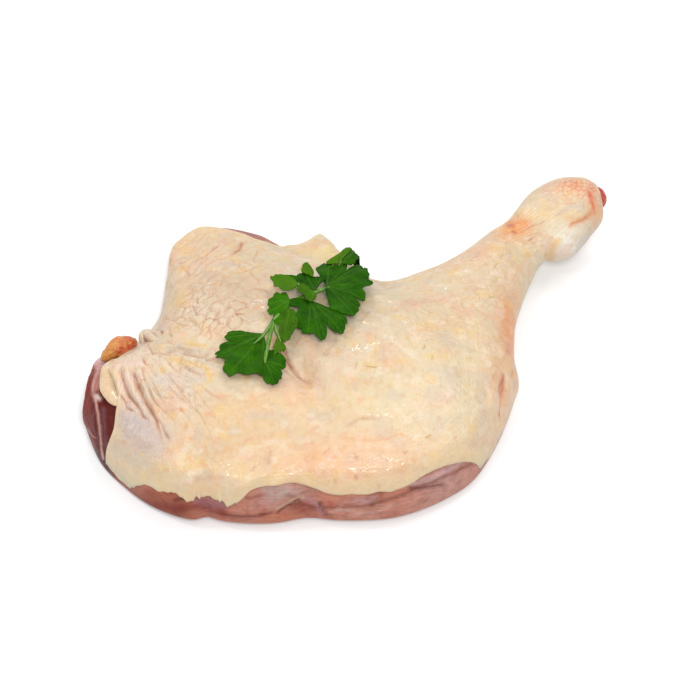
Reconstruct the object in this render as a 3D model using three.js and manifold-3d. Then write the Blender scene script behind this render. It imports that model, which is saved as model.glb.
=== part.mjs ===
// A raw duck leg lying skin side up: the thigh under its loose sheet of skin, the drumstick and the
// hock that the skin closes round, and a sprig of parsley on top. Millimetres, +Z up, table at Z 0.
// +X runs from the hip towards the hock, +Y away from the viewer.
import * as THREE from "three";
import { mergeVertices } from "three/addons/utils/BufferGeometryUtils.js";
import Module from "manifold-3d";

const wasm = await Module();
wasm.setup();

// Driving dimensions.
const SKIN_THICKNESS = 4; // skin with the fat under it
const GAP = 0.4; // clearance between pieces that touch
const SKIN_STEPS = 56; // rows from the hock to the hip
const SKIN_SPANS = 24; // columns from the far edge to the near edge
const MEAT_STEPS = 28; // rows from its hidden start to the hip
const MEAT_SPANS = 16;
const LAYOUT_CENTRE = [0.15, -1.05]; // middle of the leg in plan, moved to the origin at the end

// Sections of the leg from the hock's cut end to the hip. Each has the far and the near end of its
// side line as [x, y, z], how far the body rises above that line and drops below it, and the width
// of its far and near shoulders as a share of the section. The body is the skin's outside on the
// drumstick and the meat under the skin on the thigh.
const section = (far, near, rise, drop, shoulders) => ({ far, near, rise, drop, shoulders });
const SECTIONS = [
  section([94.8, 72.6, 20.5], [98.9, 60.8, 20], 6.5, 6.5, [0.5, 0.5]), // cut end
  section([89.0, 74.5, 20.5], [98.6, 56.6, 20], 9.5, 9, [0.5, 0.5]),
  section([79.5, 73.0, 20], [95.0, 51.0, 20], 12, 11.5, [0.5, 0.5]), // hock, widest
  section([70.0, 67.5, 19.5], [86.5, 41.5, 17.5], 11.5, 12, [0.5, 0.5]), // heel pad
  section([61.5, 56.0, 17.5], [75.0, 37.5, 17.5], 9.5, 10, [0.5, 0.5]), // neck
  section([54.1, 50.0, 16.5], [70.2, 29.1, 16.5], 11, 11.5, [0.5, 0.5]),
  section([46.2, 42.5, 15.5], [65.9, 17.8, 15.5], 14, 13, [0.5, 0.5]), // shank
  section([35.0, 35.0, 13], [62.8, 6.0, 14], 17.5, 12.5, [0.5, 0.5]),
  section([22.0, 30.0, 11], [61.8, -10.0, 12.5], 20, 12, [0.48, 0.46]), // calf
  section([10.0, 28.5, 9], [60.5, -29.0, 12], 22, 11, [0.46, 0.42]), // knee
  section([2.0, 38.0, 6], [51.0, -50.0, 7], 25, 7, [0.46, 0.4]), // notch beside the flap
  section([-7.0, 52.5, 4], [40.0, -62.5, 5], 26, 5, [0.5, 0.4]), // flap's corner
  section([-24.0, 54.0, 4], [18.0, -73.5, 5], 26, 5, [0.5, 0.4]),
  section([-37.0, 61.0, 5], [-8.0, -75.5, 5], 25, 5, [0.5, 0.4]), // middle of the thigh
  section([-55.0, 64.0, 5], [-34.0, -76.6, 5], 24, 5, [0.5, 0.4]),
  section([-69.0, 54.5, 3], [-48.0, -75.5, 5], 24, 4, [0.5, 0.4]),
  section([-71.3, 38.0, 3], [-60.0, -74.5, 5], 23, 4, [0.5, 0.4]),
  section([-73.5, 17.0, 4], [-73.0, -68.5, 5], 21, 5, [0.45, 0.4]),
  section([-80.5, 2.0, 8], [-84.0, -58.8, 5], 18, 8, [0.4, 0.4]), // gather at the hip
  section([-88.5, -7.0, 12], [-93.0, -47.5, 6], 13, 12, [0.4, 0.4]),
  section([-96.5, -10.5, 14], [-99.6, -32.5, 9], 5, 10, [0.5, 0.5]), // hip end of the meat
];
const LEG_LENGTH = 260; // along the middle of the sections
const MEAT_START = 0.45; // where the meat begins, as a share of the way from hock to hip
const MEAT_EDGE = 7; // width of the steep side of the meat, below its gentle top
const SIDE_WAVES = [
  { place: 0.187, reach: 0.01, out: -1.8 }, // in the near side, between the heel pad and the neck
  { place: 0.422, reach: 0.016, out: 2.2 }, // small bulge at the knee
  { place: 0.663, reach: 0.014, out: -2 }, // where one muscle of the thigh meets the next
  { place: 0.765, reach: 0.014, out: -1.6 },
];

// The skin is a closed sleeve up to SLEEVE_END and an open sheet from SHEET_START on. Its laps say
// how far its far and near rims lie outside the body's side lines, at even places over LAP_RANGE.
const SLEEVE_END = 0.43;
const SHEET_START = 0.54;
const LAP_RANGE = [0.5, 0.95];
const FAR_LAPS = [3, 10, 12, 5.5, 3, -5, -7, -7, -4, 0, 1.5, 1, 1, 1, 1, 1, 1, 1, 1];
const NEAR_LAPS = [
  -0.5, -1.5, -2.5, -3, -2, -1.5, -1.5, -4, -3.5, -1, -1.5, -1.5, -1.5, -0.5, 0, 0, 0, -0.5, 0,
];
const HIP_RIM = [0.915, 0.924, 0.94, 0.948, 0.932, 0.919, 0.918, 0.918, 0.933]; // its end, far to near
const DROOP = 0.3; // slope of the skin where it hangs out past the meat
const RELIEF_EDGE = 8; // folds and pleats fade out over this width at the skin's rim
const FAR_SLOPE = 0.75; // how far the open thigh falls away gently, not round, on its far side
const NEAR_SLOPE = 0.5; // how far its near side is a level top with a steep edge
const TUCKED_UNDER = 0.4; // width of the meat's lower edge on the far side, as a share of the shoulder

// Broad swells and hollows of the body: centre, half lengths along and across, turn, height.
const swell = (x, y, lengthwise, across, turn, height) => ({
  x,
  y,
  lengthwise,
  across,
  turn: THREE.MathUtils.degToRad(turn),
  height,
});
const SWELLS = [
  swell(24, -28, 34, 24, 50, 4), // calf
  swell(-18, -26, 20, 5, -68, -5), // crease between drumstick and thigh
  swell(-48, -48, 24, 16, 10, 2), // thigh
  swell(-74, -44, 16, 8, -55, 3), // muscle at the hip
  swell(-42, 30, 24, 16, 10, 2), // meat under the flap
];
const FOLDS = [
  swell(-64, -11, 17, 3, -17, 1.6), // long fold of skin from the hip
  swell(-62, -17, 15, 2.5, -14, -1.2),
  swell(-77, -1, 5, 3.5, 20, 2.5), // curled edge of the skin
];
// Pleats that fan out from where the skin is gathered at the hip.
const GATHER = [-79.5, -9];
const PLEAT = { count: 2, from: -98, to: -50, start: [6, 16], end: [26, 46], height: 1.2 };

// Lump of fat at the hip and the joint's end at the hock: centre, half lengths, turn, waviness.
const FAT = { centre: [-87.3, -5.5, 16.5], radii: [7.4, 4.3, 4.3], turn: 25, waves: 0.12 };
const JOINT = { centre: [95.7, 66.4, 20.3], radii: [5, 4.2, 4.8], turn: -71, waves: 0.05 };
// Tendon on the hip end of the meat: points in plan.
const TENDON = [[-85.5, -12], [-88.8, -14.5], [-91.2, -18.5], [-91.8, -24], [-89.8, -29], [-85.5, -31.5]];
const TENDON_RADIUS = 1.9;
const TENDON_LIFT = 0.3; // of its middle over the meat

// Sprig of parsley. Each leaflet has the base it fans out from, the way it points, its length, half
// the angle of its fan, the height of its base over the skin, its rise towards the tip and the rise
// of its sides. Each stem has points as [x, y, height over the skin].
const LEAF_THICKNESS = 0.6;
const LEAF_CLEARANCE = 0.5;
const LEAF_WAVE = 0.5; // height of the waves in a leaflet
const CLEFT = { place: 1 / 3, width: 0.07, depth: 0.32 }; // between a leaflet's lobes, as shares of its fan
const TOOTH_DEPTH = 0.09;
const STEM_RADIUS = 0.75;
const SMALLEST = 0.02; // detail that is smoothed away where leaflets grow together
const leaflet = (base, heading, length, fan, height, rise, cup) => ({
  base,
  heading: THREE.MathUtils.degToRad(heading),
  length,
  fan: THREE.MathUtils.degToRad(fan),
  height,
  rise,
  cup,
});
const LARGE_LEAFLETS = [
  leaflet([-32.6, -14.4], 222, 21, 47, 2.5, 0, 0.01),
  leaflet([-31.2, -20.5], 291, 16, 40, 2.5, -0.05, 0.01),
  leaflet([-12.0, 8.8], 8, 20.5, 57, 3.5, 0.1, 0.01),
  leaflet([-12.9, 2.8], 277, 17.5, 57, 3, 0.02, 0.01),
];
const SMALL_LEAFLETS = [
  leaflet([-22.0, 1.8], 192, 8.8, 62, 3, 0.05, 0.01), // left of the middle
  leaflet([-17.5, 8.9], 160, 13, 24, 4, 0.12, 0.02), // upper left
  leaflet([-14.2, 7.5], 100, 8, 70, 3, 0.15, 0.01),
  leaflet([-12.7, 2.8], 134, 10, 24, 5, 0.1, 0.03),
  leaflet([-13.0, 12.5], 119, 7.5, 26, 3.5, 0.5, 0.05), // curled
  leaflet([-8.6, 16.6], 32, 15.5, 24, 4, 0.3, 0.03), // upper right, folded
  leaflet([-20.2, 0.1], 247, 13, 32, 4, -0.05, 0.02), // middle, its back shown
  leaflet([-25.0, -13.9], 249, 9, 24, 4, -0.05, 0.02),
];
const STEMS = [
  [[-32.6, -13.9, 2.8], [-30.2, -9, 2.2], [-28, -4.9, 2.2], [-23.5, 1.5, 3], [-18.5, 5.6, 3.8],
    [-12, 8.8, 3.8]],
  [[-31.4, -21, 2.8], [-30, -13, 2.4], [-28, -4.9, 2.2]],
  [[-25, -13.9, 4.2], [-26.8, -9, 3], [-28, -4.9, 2.2]],
  [[-12.9, 2.8, 3.3], [-16, 4.6, 3.6], [-18.5, 5.6, 3.8], [-17.5, 8.9, 4.2]],
  [[-8.6, 16.6, 4.2], [-12.2, 12.5, 3.8], [-14.2, 7.5, 3.4], [-12.7, 2.8, 5.2]],
  [[-20.2, 0.1, 4.2], [-22.4, 2, 3.2], [-20, 4.4, 3.4]],
];

const smooth = (x, from, to) => THREE.MathUtils.smoothstep(x, from, to);
const mix = (a, b, t) => a + (b - a) * t;

// Catmull-Rom value of a list at a place from 0 to 1; pick reads the number from an entry.
function along(list, place, pick = (value) => value) {
  const last = list.length - 1;
  const scaled = Math.min(Math.max(place, 0), 1) * last;
  const index = Math.min(Math.floor(scaled), last - 1);
  const t = scaled - index;
  const b = pick(list[index]);
  const c = pick(list[index + 1]);
  const a = index > 0 ? pick(list[index - 1]) : 2 * b - c;
  const d = index + 2 <= last ? pick(list[index + 2]) : 2 * c - b;
  const square = 2 * a - 5 * b + 4 * c - d;
  const cube = 3 * b - a - 3 * c + d;
  return b + 0.5 * t * (c - a + t * (square + t * cube));
}

// Quarter-round rise from an edge: 0 at the edge, 1 from the given width inwards.
function quarterRound(distance, width) {
  const left = 1 - Math.min(Math.max(distance / width, 0), 1);
  return Math.sqrt(1 - left * left);
}

function swellAt(list, x, y) {
  let sum = 0;
  for (const s of list) {
    const dx = x - s.x;
    const dy = y - s.y;
    const a = (dx * Math.cos(s.turn) + dy * Math.sin(s.turn)) / s.lengthwise;
    const c = (dy * Math.cos(s.turn) - dx * Math.sin(s.turn)) / s.across;
    sum += s.height * Math.exp(-a * a - c * c);
  }
  return sum;
}

function pleatAt(x, y) {
  const dx = x - GATHER[0];
  const dy = y - GATHER[1];
  const reach = Math.hypot(dx, dy);
  const angle = THREE.MathUtils.radToDeg(Math.atan2(dy, dx));
  const turn = (angle - PLEAT.from) / (PLEAT.to - PLEAT.from);
  const inside = smooth(turn, -0.2, 0) * (1 - smooth(turn, 1, 1.2));
  const fade = smooth(reach, ...PLEAT.start) * (1 - smooth(reach, ...PLEAT.end));
  return PLEAT.height * inside * fade * Math.cos(2 * Math.PI * PLEAT.count * turn);
}

// A section of the body at a place from 0 to 1 along it.
function sectionAt(place) {
  const at = (pick) => along(SECTIONS, place, pick);
  const far = [0, 1, 2].map((i) => at((s) => s.far[i]));
  const near = [0, 1, 2].map((i) => at((s) => s.near[i]));
  const open = smooth(place, SLEEVE_END, SHEET_START);
  const width = Math.hypot(far[0] - near[0], far[1] - near[1]);
  for (const wave of SIDE_WAVES) {
    const out = wave.out * Math.exp(-(((place - wave.place) / wave.reach) ** 2));
    near[0] += (out * (near[0] - far[0])) / width;
    near[1] += (out * (near[1] - far[1])) / width;
  }
  return {
    far,
    near,
    open,
    width,
    rise: at((s) => s.rise),
    drop: at((s) => s.drop),
    shoulders: [0, 1].map((i) => at((s) => s.shoulders[i])),
  };
}

// The body's upper and lower height at a share of the way from a section's far to its near end.
// Shares below 0 or above 1 lie outside it, where only the skin hangs out.
function bodyPoint(s, share) {
  const [x, y, side] = s.far.map((v, i) => mix(v, s.near[i], share));
  const farDistance = share * s.width;
  const nearDistance = (1 - share) * s.width;
  const farWidth = s.width * s.shoulders[0];
  const nearWidth = s.width * s.shoulders[1];
  const farSlope = smooth(farDistance, 0, farWidth);
  const farRound = mix(quarterRound(farDistance, farWidth), farSlope, FAR_SLOPE * s.open);
  const nearSteep = quarterRound(nearDistance, MEAT_EDGE);
  const nearRound = mix(quarterRound(nearDistance, nearWidth), nearSteep, NEAR_SLOPE * s.open);
  const droop = DROOP * Math.min(farDistance, nearDistance, 0);
  const top = side + droop + (s.rise + swellAt(SWELLS, x, y) * s.open) * farRound * nearRound;
  const under = quarterRound(farDistance, TUCKED_UNDER * farWidth) * nearRound;
  const bottom = side - s.drop * mix(farRound * nearRound, under, s.open);
  return { x, y, top, bottom: Math.max(bottom, 0) };
}

// The skin: place runs from 0 to 1 from hock to hip, across from 0 to 1 from its far to its near rim.
function skinPoint(place, across) {
  const reached = place * along(HIP_RIM, across);
  const s = sectionAt(reached);
  const lapPlace = (reached - LAP_RANGE[0]) / (LAP_RANGE[1] - LAP_RANGE[0]);
  const farLap = s.open * along(FAR_LAPS, lapPlace);
  const nearLap = s.open * along(NEAR_LAPS, lapPlace);
  const body = bodyPoint(s, mix(-farLap / s.width, 1 + nearLap / s.width, across));
  const rimWidth = s.width + farLap + nearLap;
  const rim = Math.min(across * rimWidth, (1 - across) * rimWidth, (1 - place) * LEG_LENGTH);
  const folds = pleatAt(body.x, body.y) + swellAt(FOLDS, body.x, body.y);
  const relief = folds * quarterRound(rim, RELIEF_EDGE) * s.open;
  const half = SKIN_THICKNESS / 2;
  const top = body.top + relief + s.open * half * (1 + quarterRound(rim, half));
  const under = body.top + 2 * GAP + half * (1 - quarterRound(rim, half));
  const bottom = mix(body.bottom, under, s.open);
  return { x: body.x, y: body.y, top, bottom: Math.max(bottom, 0) };
}

function meatPoint(place, across) {
  return bodyPoint(sectionAt(mix(MEAT_START, 1, place)), across);
}

// A closed body from a function that gives, at each place along and across, its upper and lower
// height. Its ends are flat caps, or come to a line where both heights meet. Each quad is split
// along its more level diagonal.
function loft(pointAt, steps, spans) {
  const position = [];
  const index = [];
  const columns = spans + 1;
  const spread = (u) => 0.2 * u + 0.8 * (0.5 - 0.5 * Math.cos(Math.PI * u));
  const denser = (u) => u + 0.25 * u * (1 - u); // towards the hip
  for (const level of ["top", "bottom"]) {
    for (let i = 0; i <= steps; i += 1) {
      for (let j = 0; j <= spans; j += 1) {
        const p = pointAt(denser(i / steps), spread(j / spans));
        const z = j === 0 || j === spans ? (p.top + p.bottom) / 2 : p[level];
        position.push(p.x, p.y, z);
      }
    }
  }
  const half = (steps + 1) * columns;
  const drop = (a, b) => Math.abs(position[3 * a + 2] - position[3 * b + 2]);
  const quad = (a, b, c, d) => {
    if (drop(a, c) < drop(b, d)) index.push(a, b, c, a, c, d);
    else index.push(a, b, d, b, c, d);
  };
  for (let i = 0; i < steps; i += 1) {
    for (let j = 0; j < spans; j += 1) {
      const a = i * columns + j;
      quad(a, a + columns, a + columns + 1, a + 1);
      quad(half + a, half + a + 1, half + a + columns + 1, half + a + columns);
    }
  }
  for (let j = 0; j < spans; j += 1) {
    quad(j, j + 1, half + j + 1, half + j);
    const end = steps * columns + j;
    quad(end, half + end, half + end + 1, end + 1);
  }
  const geometry = new THREE.BufferGeometry();
  geometry.setAttribute("position", new THREE.Float32BufferAttribute(position, 3));
  geometry.setIndex(index);
  return geometry;
}

// A three.js geometry as a solid, and back.
function solidOf(geometry) {
  const bare = geometry.clone();
  bare.deleteAttribute("normal");
  bare.deleteAttribute("uv");
  const merged = mergeVertices(bare, 1e-4);
  return new wasm.Manifold(
    new wasm.Mesh({
      numProp: 3,
      vertProperties: merged.attributes.position.array,
      triVerts: new Uint32Array(merged.index.array),
    }),
  );
}

function geometryOf(solid) {
  const mesh = solid.getMesh();
  const geometry = new THREE.BufferGeometry();
  geometry.setAttribute("position", new THREE.BufferAttribute(mesh.vertProperties, 3));
  geometry.setIndex(new THREE.BufferAttribute(mesh.triVerts, 1));
  geometry.computeVertexNormals();
  return geometry;
}

// A solid with its surface moved outwards, to cut its neighbours clear of it.
function grown(solid) {
  const geometry = geometryOf(solid);
  const { position, normal } = geometry.attributes;
  const point = new THREE.Vector3();
  const out = new THREE.Vector3();
  for (let i = 0; i < position.count; i += 1) {
    point.fromBufferAttribute(position, i).addScaledVector(out.fromBufferAttribute(normal, i), GAP);
    position.setXYZ(i, point.x, point.y, point.z);
  }
  return solidOf(geometry).add(solid);
}

// The largest of a solid's separate bodies, without the loose scraps that a cut can leave.
function largest(solid) {
  return solid.decompose().reduce((a, b) => (b.volume() > a.volume() ? b : a));
}

const skinMesh = new THREE.Mesh();
const meatMesh = new THREE.Mesh();
const straightDown = new THREE.Raycaster(new THREE.Vector3(), new THREE.Vector3(0, 0, -1));
// Height of a mesh's top at a point in plan, or 0 beside it.
function topOf(mesh, x, y) {
  straightDown.ray.origin.set(x, y, 100);
  const [hit] = straightDown.intersectObject(mesh);
  return hit ? hit.point.z : 0;
}

// A wavy ellipsoid.
function lump({ centre, radii, turn, waves }, detail) {
  const ball = new THREE.IcosahedronGeometry(1, detail).deleteAttribute("normal").deleteAttribute("uv");
  const geometry = mergeVertices(ball);
  const position = geometry.attributes.position;
  const angle = THREE.MathUtils.degToRad(turn);
  for (let i = 0; i < position.count; i += 1) {
    const [x, y, z] = [position.getX(i), position.getY(i), position.getZ(i)];
    const wave = 1 + waves * Math.sin(3 * x + 4 * y + 1) * Math.cos(4 * z - 2 * x);
    const lengthwise = x * radii[0] * wave;
    const across = y * radii[1] * wave;
    position.setXYZ(
      i,
      centre[0] + lengthwise * Math.cos(angle) - across * Math.sin(angle),
      centre[1] + lengthwise * Math.sin(angle) + across * Math.cos(angle),
      centre[2] + z * radii[2] * wave,
    );
  }
  return solidOf(geometry);
}

// A round rod along a curve through points.
function rod(points, radius, steps, sides) {
  const outline = [];
  for (let i = 0; i < sides; i += 1) {
    const angle = (2 * Math.PI * i) / sides;
    outline.push(new THREE.Vector2(radius * Math.cos(angle), radius * Math.sin(angle)));
  }
  const shape = new THREE.Shape(outline);
  const extrudePath = new THREE.CatmullRomCurve3(points);
  return solidOf(new THREE.ExtrudeGeometry(shape, { steps, extrudePath, bevelEnabled: false }));
}

// How far a leaflet reaches, as a share of its length, at a share from -1 to 1 of its fan: three
// lobes with rounded teeth.
function leafReach(share, teeth) {
  const cleft = Math.exp(-(((Math.abs(share) - CLEFT.place) / CLEFT.width) ** 2));
  const valley = 1 - Math.abs(Math.sin((teeth * Math.PI * (share + 1)) / 2));
  return (1 - 0.25 * share * share) * (1 - CLEFT.depth * cleft) * (1 - TOOTH_DEPTH * valley);
}

// A leaflet: a fan of thin sheet, both of its faces split alike.
function leaf(l, teeth, rings) {
  const columns = 3 * teeth;
  const position = [];
  const index = [];
  const baseHeight = topOf(skinMesh, ...l.base) + l.height;
  const vertex = (share, ring, level) => {
    const reach = ring * l.length * leafReach(share, teeth);
    const angle = l.heading + share * l.fan;
    const x = l.base[0] + reach * Math.cos(angle);
    const y = l.base[1] + reach * Math.sin(angle);
    const sideways = reach * Math.sin(share * l.fan);
    const wave = LEAF_WAVE * ring * Math.sin(7 * share + 3 * ring);
    const z = baseHeight + l.rise * reach + l.cup * sideways * sideways + wave;
    const lowest = topOf(skinMesh, x, y) + LEAF_CLEARANCE + LEAF_THICKNESS / 2;
    position.push(x, y, Math.max(z, lowest) + (level * LEAF_THICKNESS) / 2);
  };
  for (const level of [1, -1]) {
    vertex(0, 0, level);
    for (let k = 1; k <= rings; k += 1) {
      for (let i = 0; i <= columns; i += 1) vertex((2 * i) / columns - 1, k / rings, level);
    }
  }
  const half = position.length / 6;
  const at = (k, i) => (k === 0 ? 0 : 1 + (k - 1) * (columns + 1) + i);
  const both = (a, b, c) => index.push(a, b, c, half + a, half + c, half + b);
  const wall = (a, b) => index.push(a, half + a, half + b, a, half + b, b);
  for (let i = 0; i < columns; i += 1) {
    both(0, at(1, i), at(1, i + 1));
    for (let k = 1; k < rings; k += 1) {
      both(at(k, i), at(k + 1, i), at(k + 1, i + 1));
      both(at(k, i), at(k + 1, i + 1), at(k, i + 1));
    }
    wall(at(rings, i), at(rings, i + 1));
  }
  for (let k = 0; k < rings; k += 1) {
    wall(at(k, 0), at(k + 1, 0));
    wall(at(k + 1, columns), at(k, columns));
  }
  const geometry = new THREE.BufferGeometry();
  geometry.setAttribute("position", new THREE.Float32BufferAttribute(position, 3));
  geometry.setIndex(index);
  return solidOf(geometry);
}

function sprig() {
  const stems = STEMS.map((points) => {
    const curve = points.map(([x, y, height]) => new THREE.Vector3(x, y, topOf(skinMesh, x, y) + height));
    return rod(curve, STEM_RADIUS, points.length + 1, 5);
  });
  const large = LARGE_LEAFLETS.map((l) => leaf(l, 9, 3));
  const small = SMALL_LEAFLETS.map((l) => leaf(l, 3, 2));
  return largest(wasm.Manifold.union([...stems, ...large, ...small]).simplify(SMALLEST));
}

function tendon() {
  const points = TENDON.map(([x, y]) => new THREE.Vector3(x, y, topOf(meatMesh, x, y) + TENDON_LIFT));
  return rod(points, TENDON_RADIUS, 12, 9);
}

const MATERIALS = {
  skin: new THREE.MeshStandardMaterial({ color: 0xe9d2ac, roughness: 0.4, metalness: 0 }),
  meat: new THREE.MeshStandardMaterial({ color: 0x8c4038, roughness: 0.35, metalness: 0 }),
  fat: new THREE.MeshStandardMaterial({ color: 0xd98a52, roughness: 0.35, metalness: 0 }),
  tendon: new THREE.MeshStandardMaterial({ color: 0xe8d3a0, roughness: 0.35, metalness: 0 }),
  joint: new THREE.MeshStandardMaterial({ color: 0xc4544a, roughness: 0.35, metalness: 0 }),
  leaf: new THREE.MeshStandardMaterial({ color: 0x2f7d1c, roughness: 0.5, metalness: 0 }),
};

// Each piece, cut clear of the ones it lies against.
const joint = lump(JOINT, 2);
const skin = solidOf(loft(skinPoint, SKIN_STEPS, SKIN_SPANS)).subtract(grown(joint));
const skinClearance = grown(skin);
skinMesh.geometry = geometryOf(skin);
const wholeMeat = solidOf(loft(meatPoint, MEAT_STEPS, MEAT_SPANS)).subtract(skinClearance);
meatMesh.geometry = geometryOf(largest(wholeMeat));
const hipTendon = largest(tendon().subtract(skinClearance));
const fat = largest(lump(FAT, 3).subtract(skinClearance).subtract(grown(hipTendon)));
const meat = largest(wholeMeat.subtract(grown(hipTendon)).subtract(grown(fat)));

const leg = new THREE.Group();
leg.position.set(-LAYOUT_CENTRE[0], -LAYOUT_CENTRE[1], 0);
function add(name, solid, material) {
  const mesh = new THREE.Mesh(geometryOf(solid), material);
  mesh.name = name;
  leg.add(mesh);
}
add("skin", skin, MATERIALS.skin);
add("thigh_meat", meat, MATERIALS.meat);
add("hip_fat", fat, MATERIALS.fat);
add("hip_tendon", hipTendon, MATERIALS.tendon);
add("hock_joint", joint, MATERIALS.joint);
add("parsley", sprig(), MATERIALS.leaf);

export default leg;
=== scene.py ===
"""A raw duck leg lying skin side up: the thigh under its loose sheet of skin, the drumstick and the
hock that the skin closes round, and a sprig of flat parsley on top.

Shapes are worked out in layout millimetres, with the floor at z 0, and placed in metres at the end.
"""

import itertools
import math

import bpy
import numpy as np
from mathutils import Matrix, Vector


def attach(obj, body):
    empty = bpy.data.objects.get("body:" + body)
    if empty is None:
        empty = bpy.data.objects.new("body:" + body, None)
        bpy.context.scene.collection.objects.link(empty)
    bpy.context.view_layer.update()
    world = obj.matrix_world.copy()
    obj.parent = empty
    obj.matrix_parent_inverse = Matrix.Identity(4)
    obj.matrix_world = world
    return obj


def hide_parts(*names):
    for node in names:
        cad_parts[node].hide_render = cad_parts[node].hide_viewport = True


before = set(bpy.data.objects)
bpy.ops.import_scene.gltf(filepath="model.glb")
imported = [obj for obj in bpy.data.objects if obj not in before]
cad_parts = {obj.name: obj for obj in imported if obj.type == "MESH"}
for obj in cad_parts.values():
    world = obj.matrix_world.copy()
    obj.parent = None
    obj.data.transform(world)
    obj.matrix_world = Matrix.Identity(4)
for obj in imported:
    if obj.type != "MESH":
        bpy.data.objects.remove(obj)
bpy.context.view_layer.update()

# Layout. LAYOUT_CENTRE is the point of the layout that lies at the frame's origin.
MM = 0.001
LAYOUT_CENTRE = (0.15, -1.05, 0.0)
SEED = 7

# Camera: it looks along +Y at TARGET and stands this far from it.
TARGET = (0.0, 7.0, 0.0)
CAMERA_ELEVATION = 52
CAMERA_DISTANCE = 1000
CAMERA_LENS = 133.7
CAMERA_SENSOR = 36

# Grids of the skin and of the meat: rows along the leg, columns across it. The underside takes every
# fourth row and column.
SKIN_STEPS = 800
SKIN_SPANS = 360
MEAT_STEPS = 360
MEAT_SPANS = 300
STRIDE = 4

# How bright the lights make a level white surface, so that a colour can be given as it is seen.
LIGHT = 1.6
FLOOR_GLOW = 0.27  # The floor's own light, which fills the shadows.


def section(far, near, rise, drop, shoulders):
    """A section of the leg: the far and the near end of its side line, how far the body rises
    above that line and drops below it, and the widths of its shoulders as shares of its width."""
    return (*far, *near, rise, drop, *shoulders)


SECTIONS = np.array([
    section((94.8, 72.6, 20.5), (98.9, 60.8, 20), 6.5, 6.5, (0.5, 0.5)),  # cut end
    section((89.0, 74.5, 20.5), (98.6, 56.6, 20), 9.5, 9, (0.5, 0.5)),
    section((79.5, 73.0, 20), (95.0, 51.0, 20), 12, 11.5, (0.5, 0.5)),  # hock, widest
    section((70.0, 67.5, 19.5), (86.5, 41.5, 17.5), 11.5, 12, (0.5, 0.5)),  # heel pad
    section((61.5, 56.0, 17.5), (75.0, 37.5, 17.5), 9.5, 10, (0.5, 0.5)),  # neck
    section((54.1, 50.0, 16.5), (70.2, 29.1, 16.5), 11, 11.5, (0.5, 0.5)),
    section((46.2, 42.5, 15.5), (65.9, 17.8, 15.5), 14, 13, (0.5, 0.5)),  # shank
    section((35.0, 35.0, 13), (62.8, 6.0, 14), 17.5, 12.5, (0.5, 0.5)),
    section((22.0, 30.0, 11), (61.8, -10.0, 12.5), 20, 12, (0.48, 0.46)),  # calf
    section((10.0, 28.5, 9), (60.5, -29.0, 12), 22, 11, (0.46, 0.42)),  # knee
    section((2.0, 38.0, 6), (51.0, -50.0, 7), 25, 7, (0.46, 0.4)),  # notch beside the flap
    section((-7.0, 52.5, 4), (40.0, -62.5, 5), 26, 5, (0.5, 0.4)),  # flap's corner
    section((-24.0, 54.0, 4), (18.0, -73.5, 5), 26, 5, (0.5, 0.4)),
    section((-37.0, 61.0, 5), (-8.0, -75.5, 5), 25, 5, (0.5, 0.4)),  # middle of the thigh
    section((-55.0, 64.0, 5), (-34.0, -76.6, 5), 24, 5, (0.5, 0.4)),
    section((-69.0, 54.5, 3), (-48.0, -75.5, 5), 24, 4, (0.5, 0.4)),
    section((-71.3, 38.0, 3), (-60.0, -74.5, 5), 23, 4, (0.5, 0.4)),
    section((-73.5, 17.0, 4), (-73.0, -68.5, 5), 21, 5, (0.45, 0.4)),
    section((-80.5, 2.0, 8), (-84.0, -58.8, 5), 18, 8, (0.4, 0.4)),  # gather at the hip
    section((-88.5, -7.0, 12), (-93.0, -47.5, 6), 13, 12, (0.4, 0.4)),
    section((-96.5, -10.5, 14), (-99.6, -32.5, 9), 5, 10, (0.5, 0.5)),  # hip end of the meat
])
LEG_LENGTH = 260
MEAT_START = 0.45
MEAT_EDGE = 7
SIDE_WAVES = ((0.187, 0.01, -1.8), (0.422, 0.016, 2.2), (0.663, 0.014, -2), (0.765, 0.014, -1.6))
SLEEVE_END = 0.43
SHEET_START = 0.54
LAP_RANGE = (0.5, 0.95)
FAR_LAPS = (3, 10, 12, 4.5, -1, -7, -7.5, -6, -2, 0.5, 1.5, 1, 1, 1, 1, 1, 1, 1, 1)
NEAR_LAPS = (
    0.3, -0.7, -2, -3, -2, -1.5, -1.5, -4, -3.5, -1, -1.5, -1.5, -1.5, -1.3, -1.1, -0.3, 0.3, 0.2,
    0,
)
HIP_RIM = (0.915, 0.924, 0.94, 0.948, 0.928, 0.914, 0.914, 0.916, 0.932)
RIM_WAVES = 0.55
FRINGE = 0.7
# Where the near rim's fringe starts and where it ends, as shares of the leg's length.
FRINGE_START = (0.71, 0.73)
FRINGE_END = (0.8, 0.82)
DROOP = 0.3
FAR_SLOPE = 0.75
NEAR_SLOPE = 0.5
TUCKED_UNDER = 0.4
SKIN_LIFT = 0.5  # of the skin's underside over the meat
SKIN_THICKNESS = 3.6

# Broad swells and hollows of the body: x, y, half lengths along and across, turn, height.
SWELLS = (
    (24, -28, 34, 24, 50, 4),  # calf
    (-18, -26, 20, 5, -68, -5),  # crease between drumstick and thigh
    (-48, -48, 24, 16, 10, 2),  # thigh
    (-74, -44, 16, 8, -55, 3),  # muscle at the hip
    (-42, 30, 24, 16, 10, 2),  # meat under the flap
)


def place(points):
    """Layout millimetres as metres in the frame."""
    return (np.asarray(points, float) - LAYOUT_CENTRE) * MM


def mix(a, b, share):
    return a + (b - a) * share


def smooth(x, start, end):
    """0 up to start, 1 from end on, and a smooth rise between them."""
    t = np.clip((x - start) / (end - start), 0, 1)
    return t * t * (3 - 2 * t)


def quarter_round(distance, width):
    """0 at an edge, and a quarter-round rise to 1 at the given width inside it."""
    left = 1 - np.clip(distance / width, 0, 1)
    return np.sqrt(1 - left * left)


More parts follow.
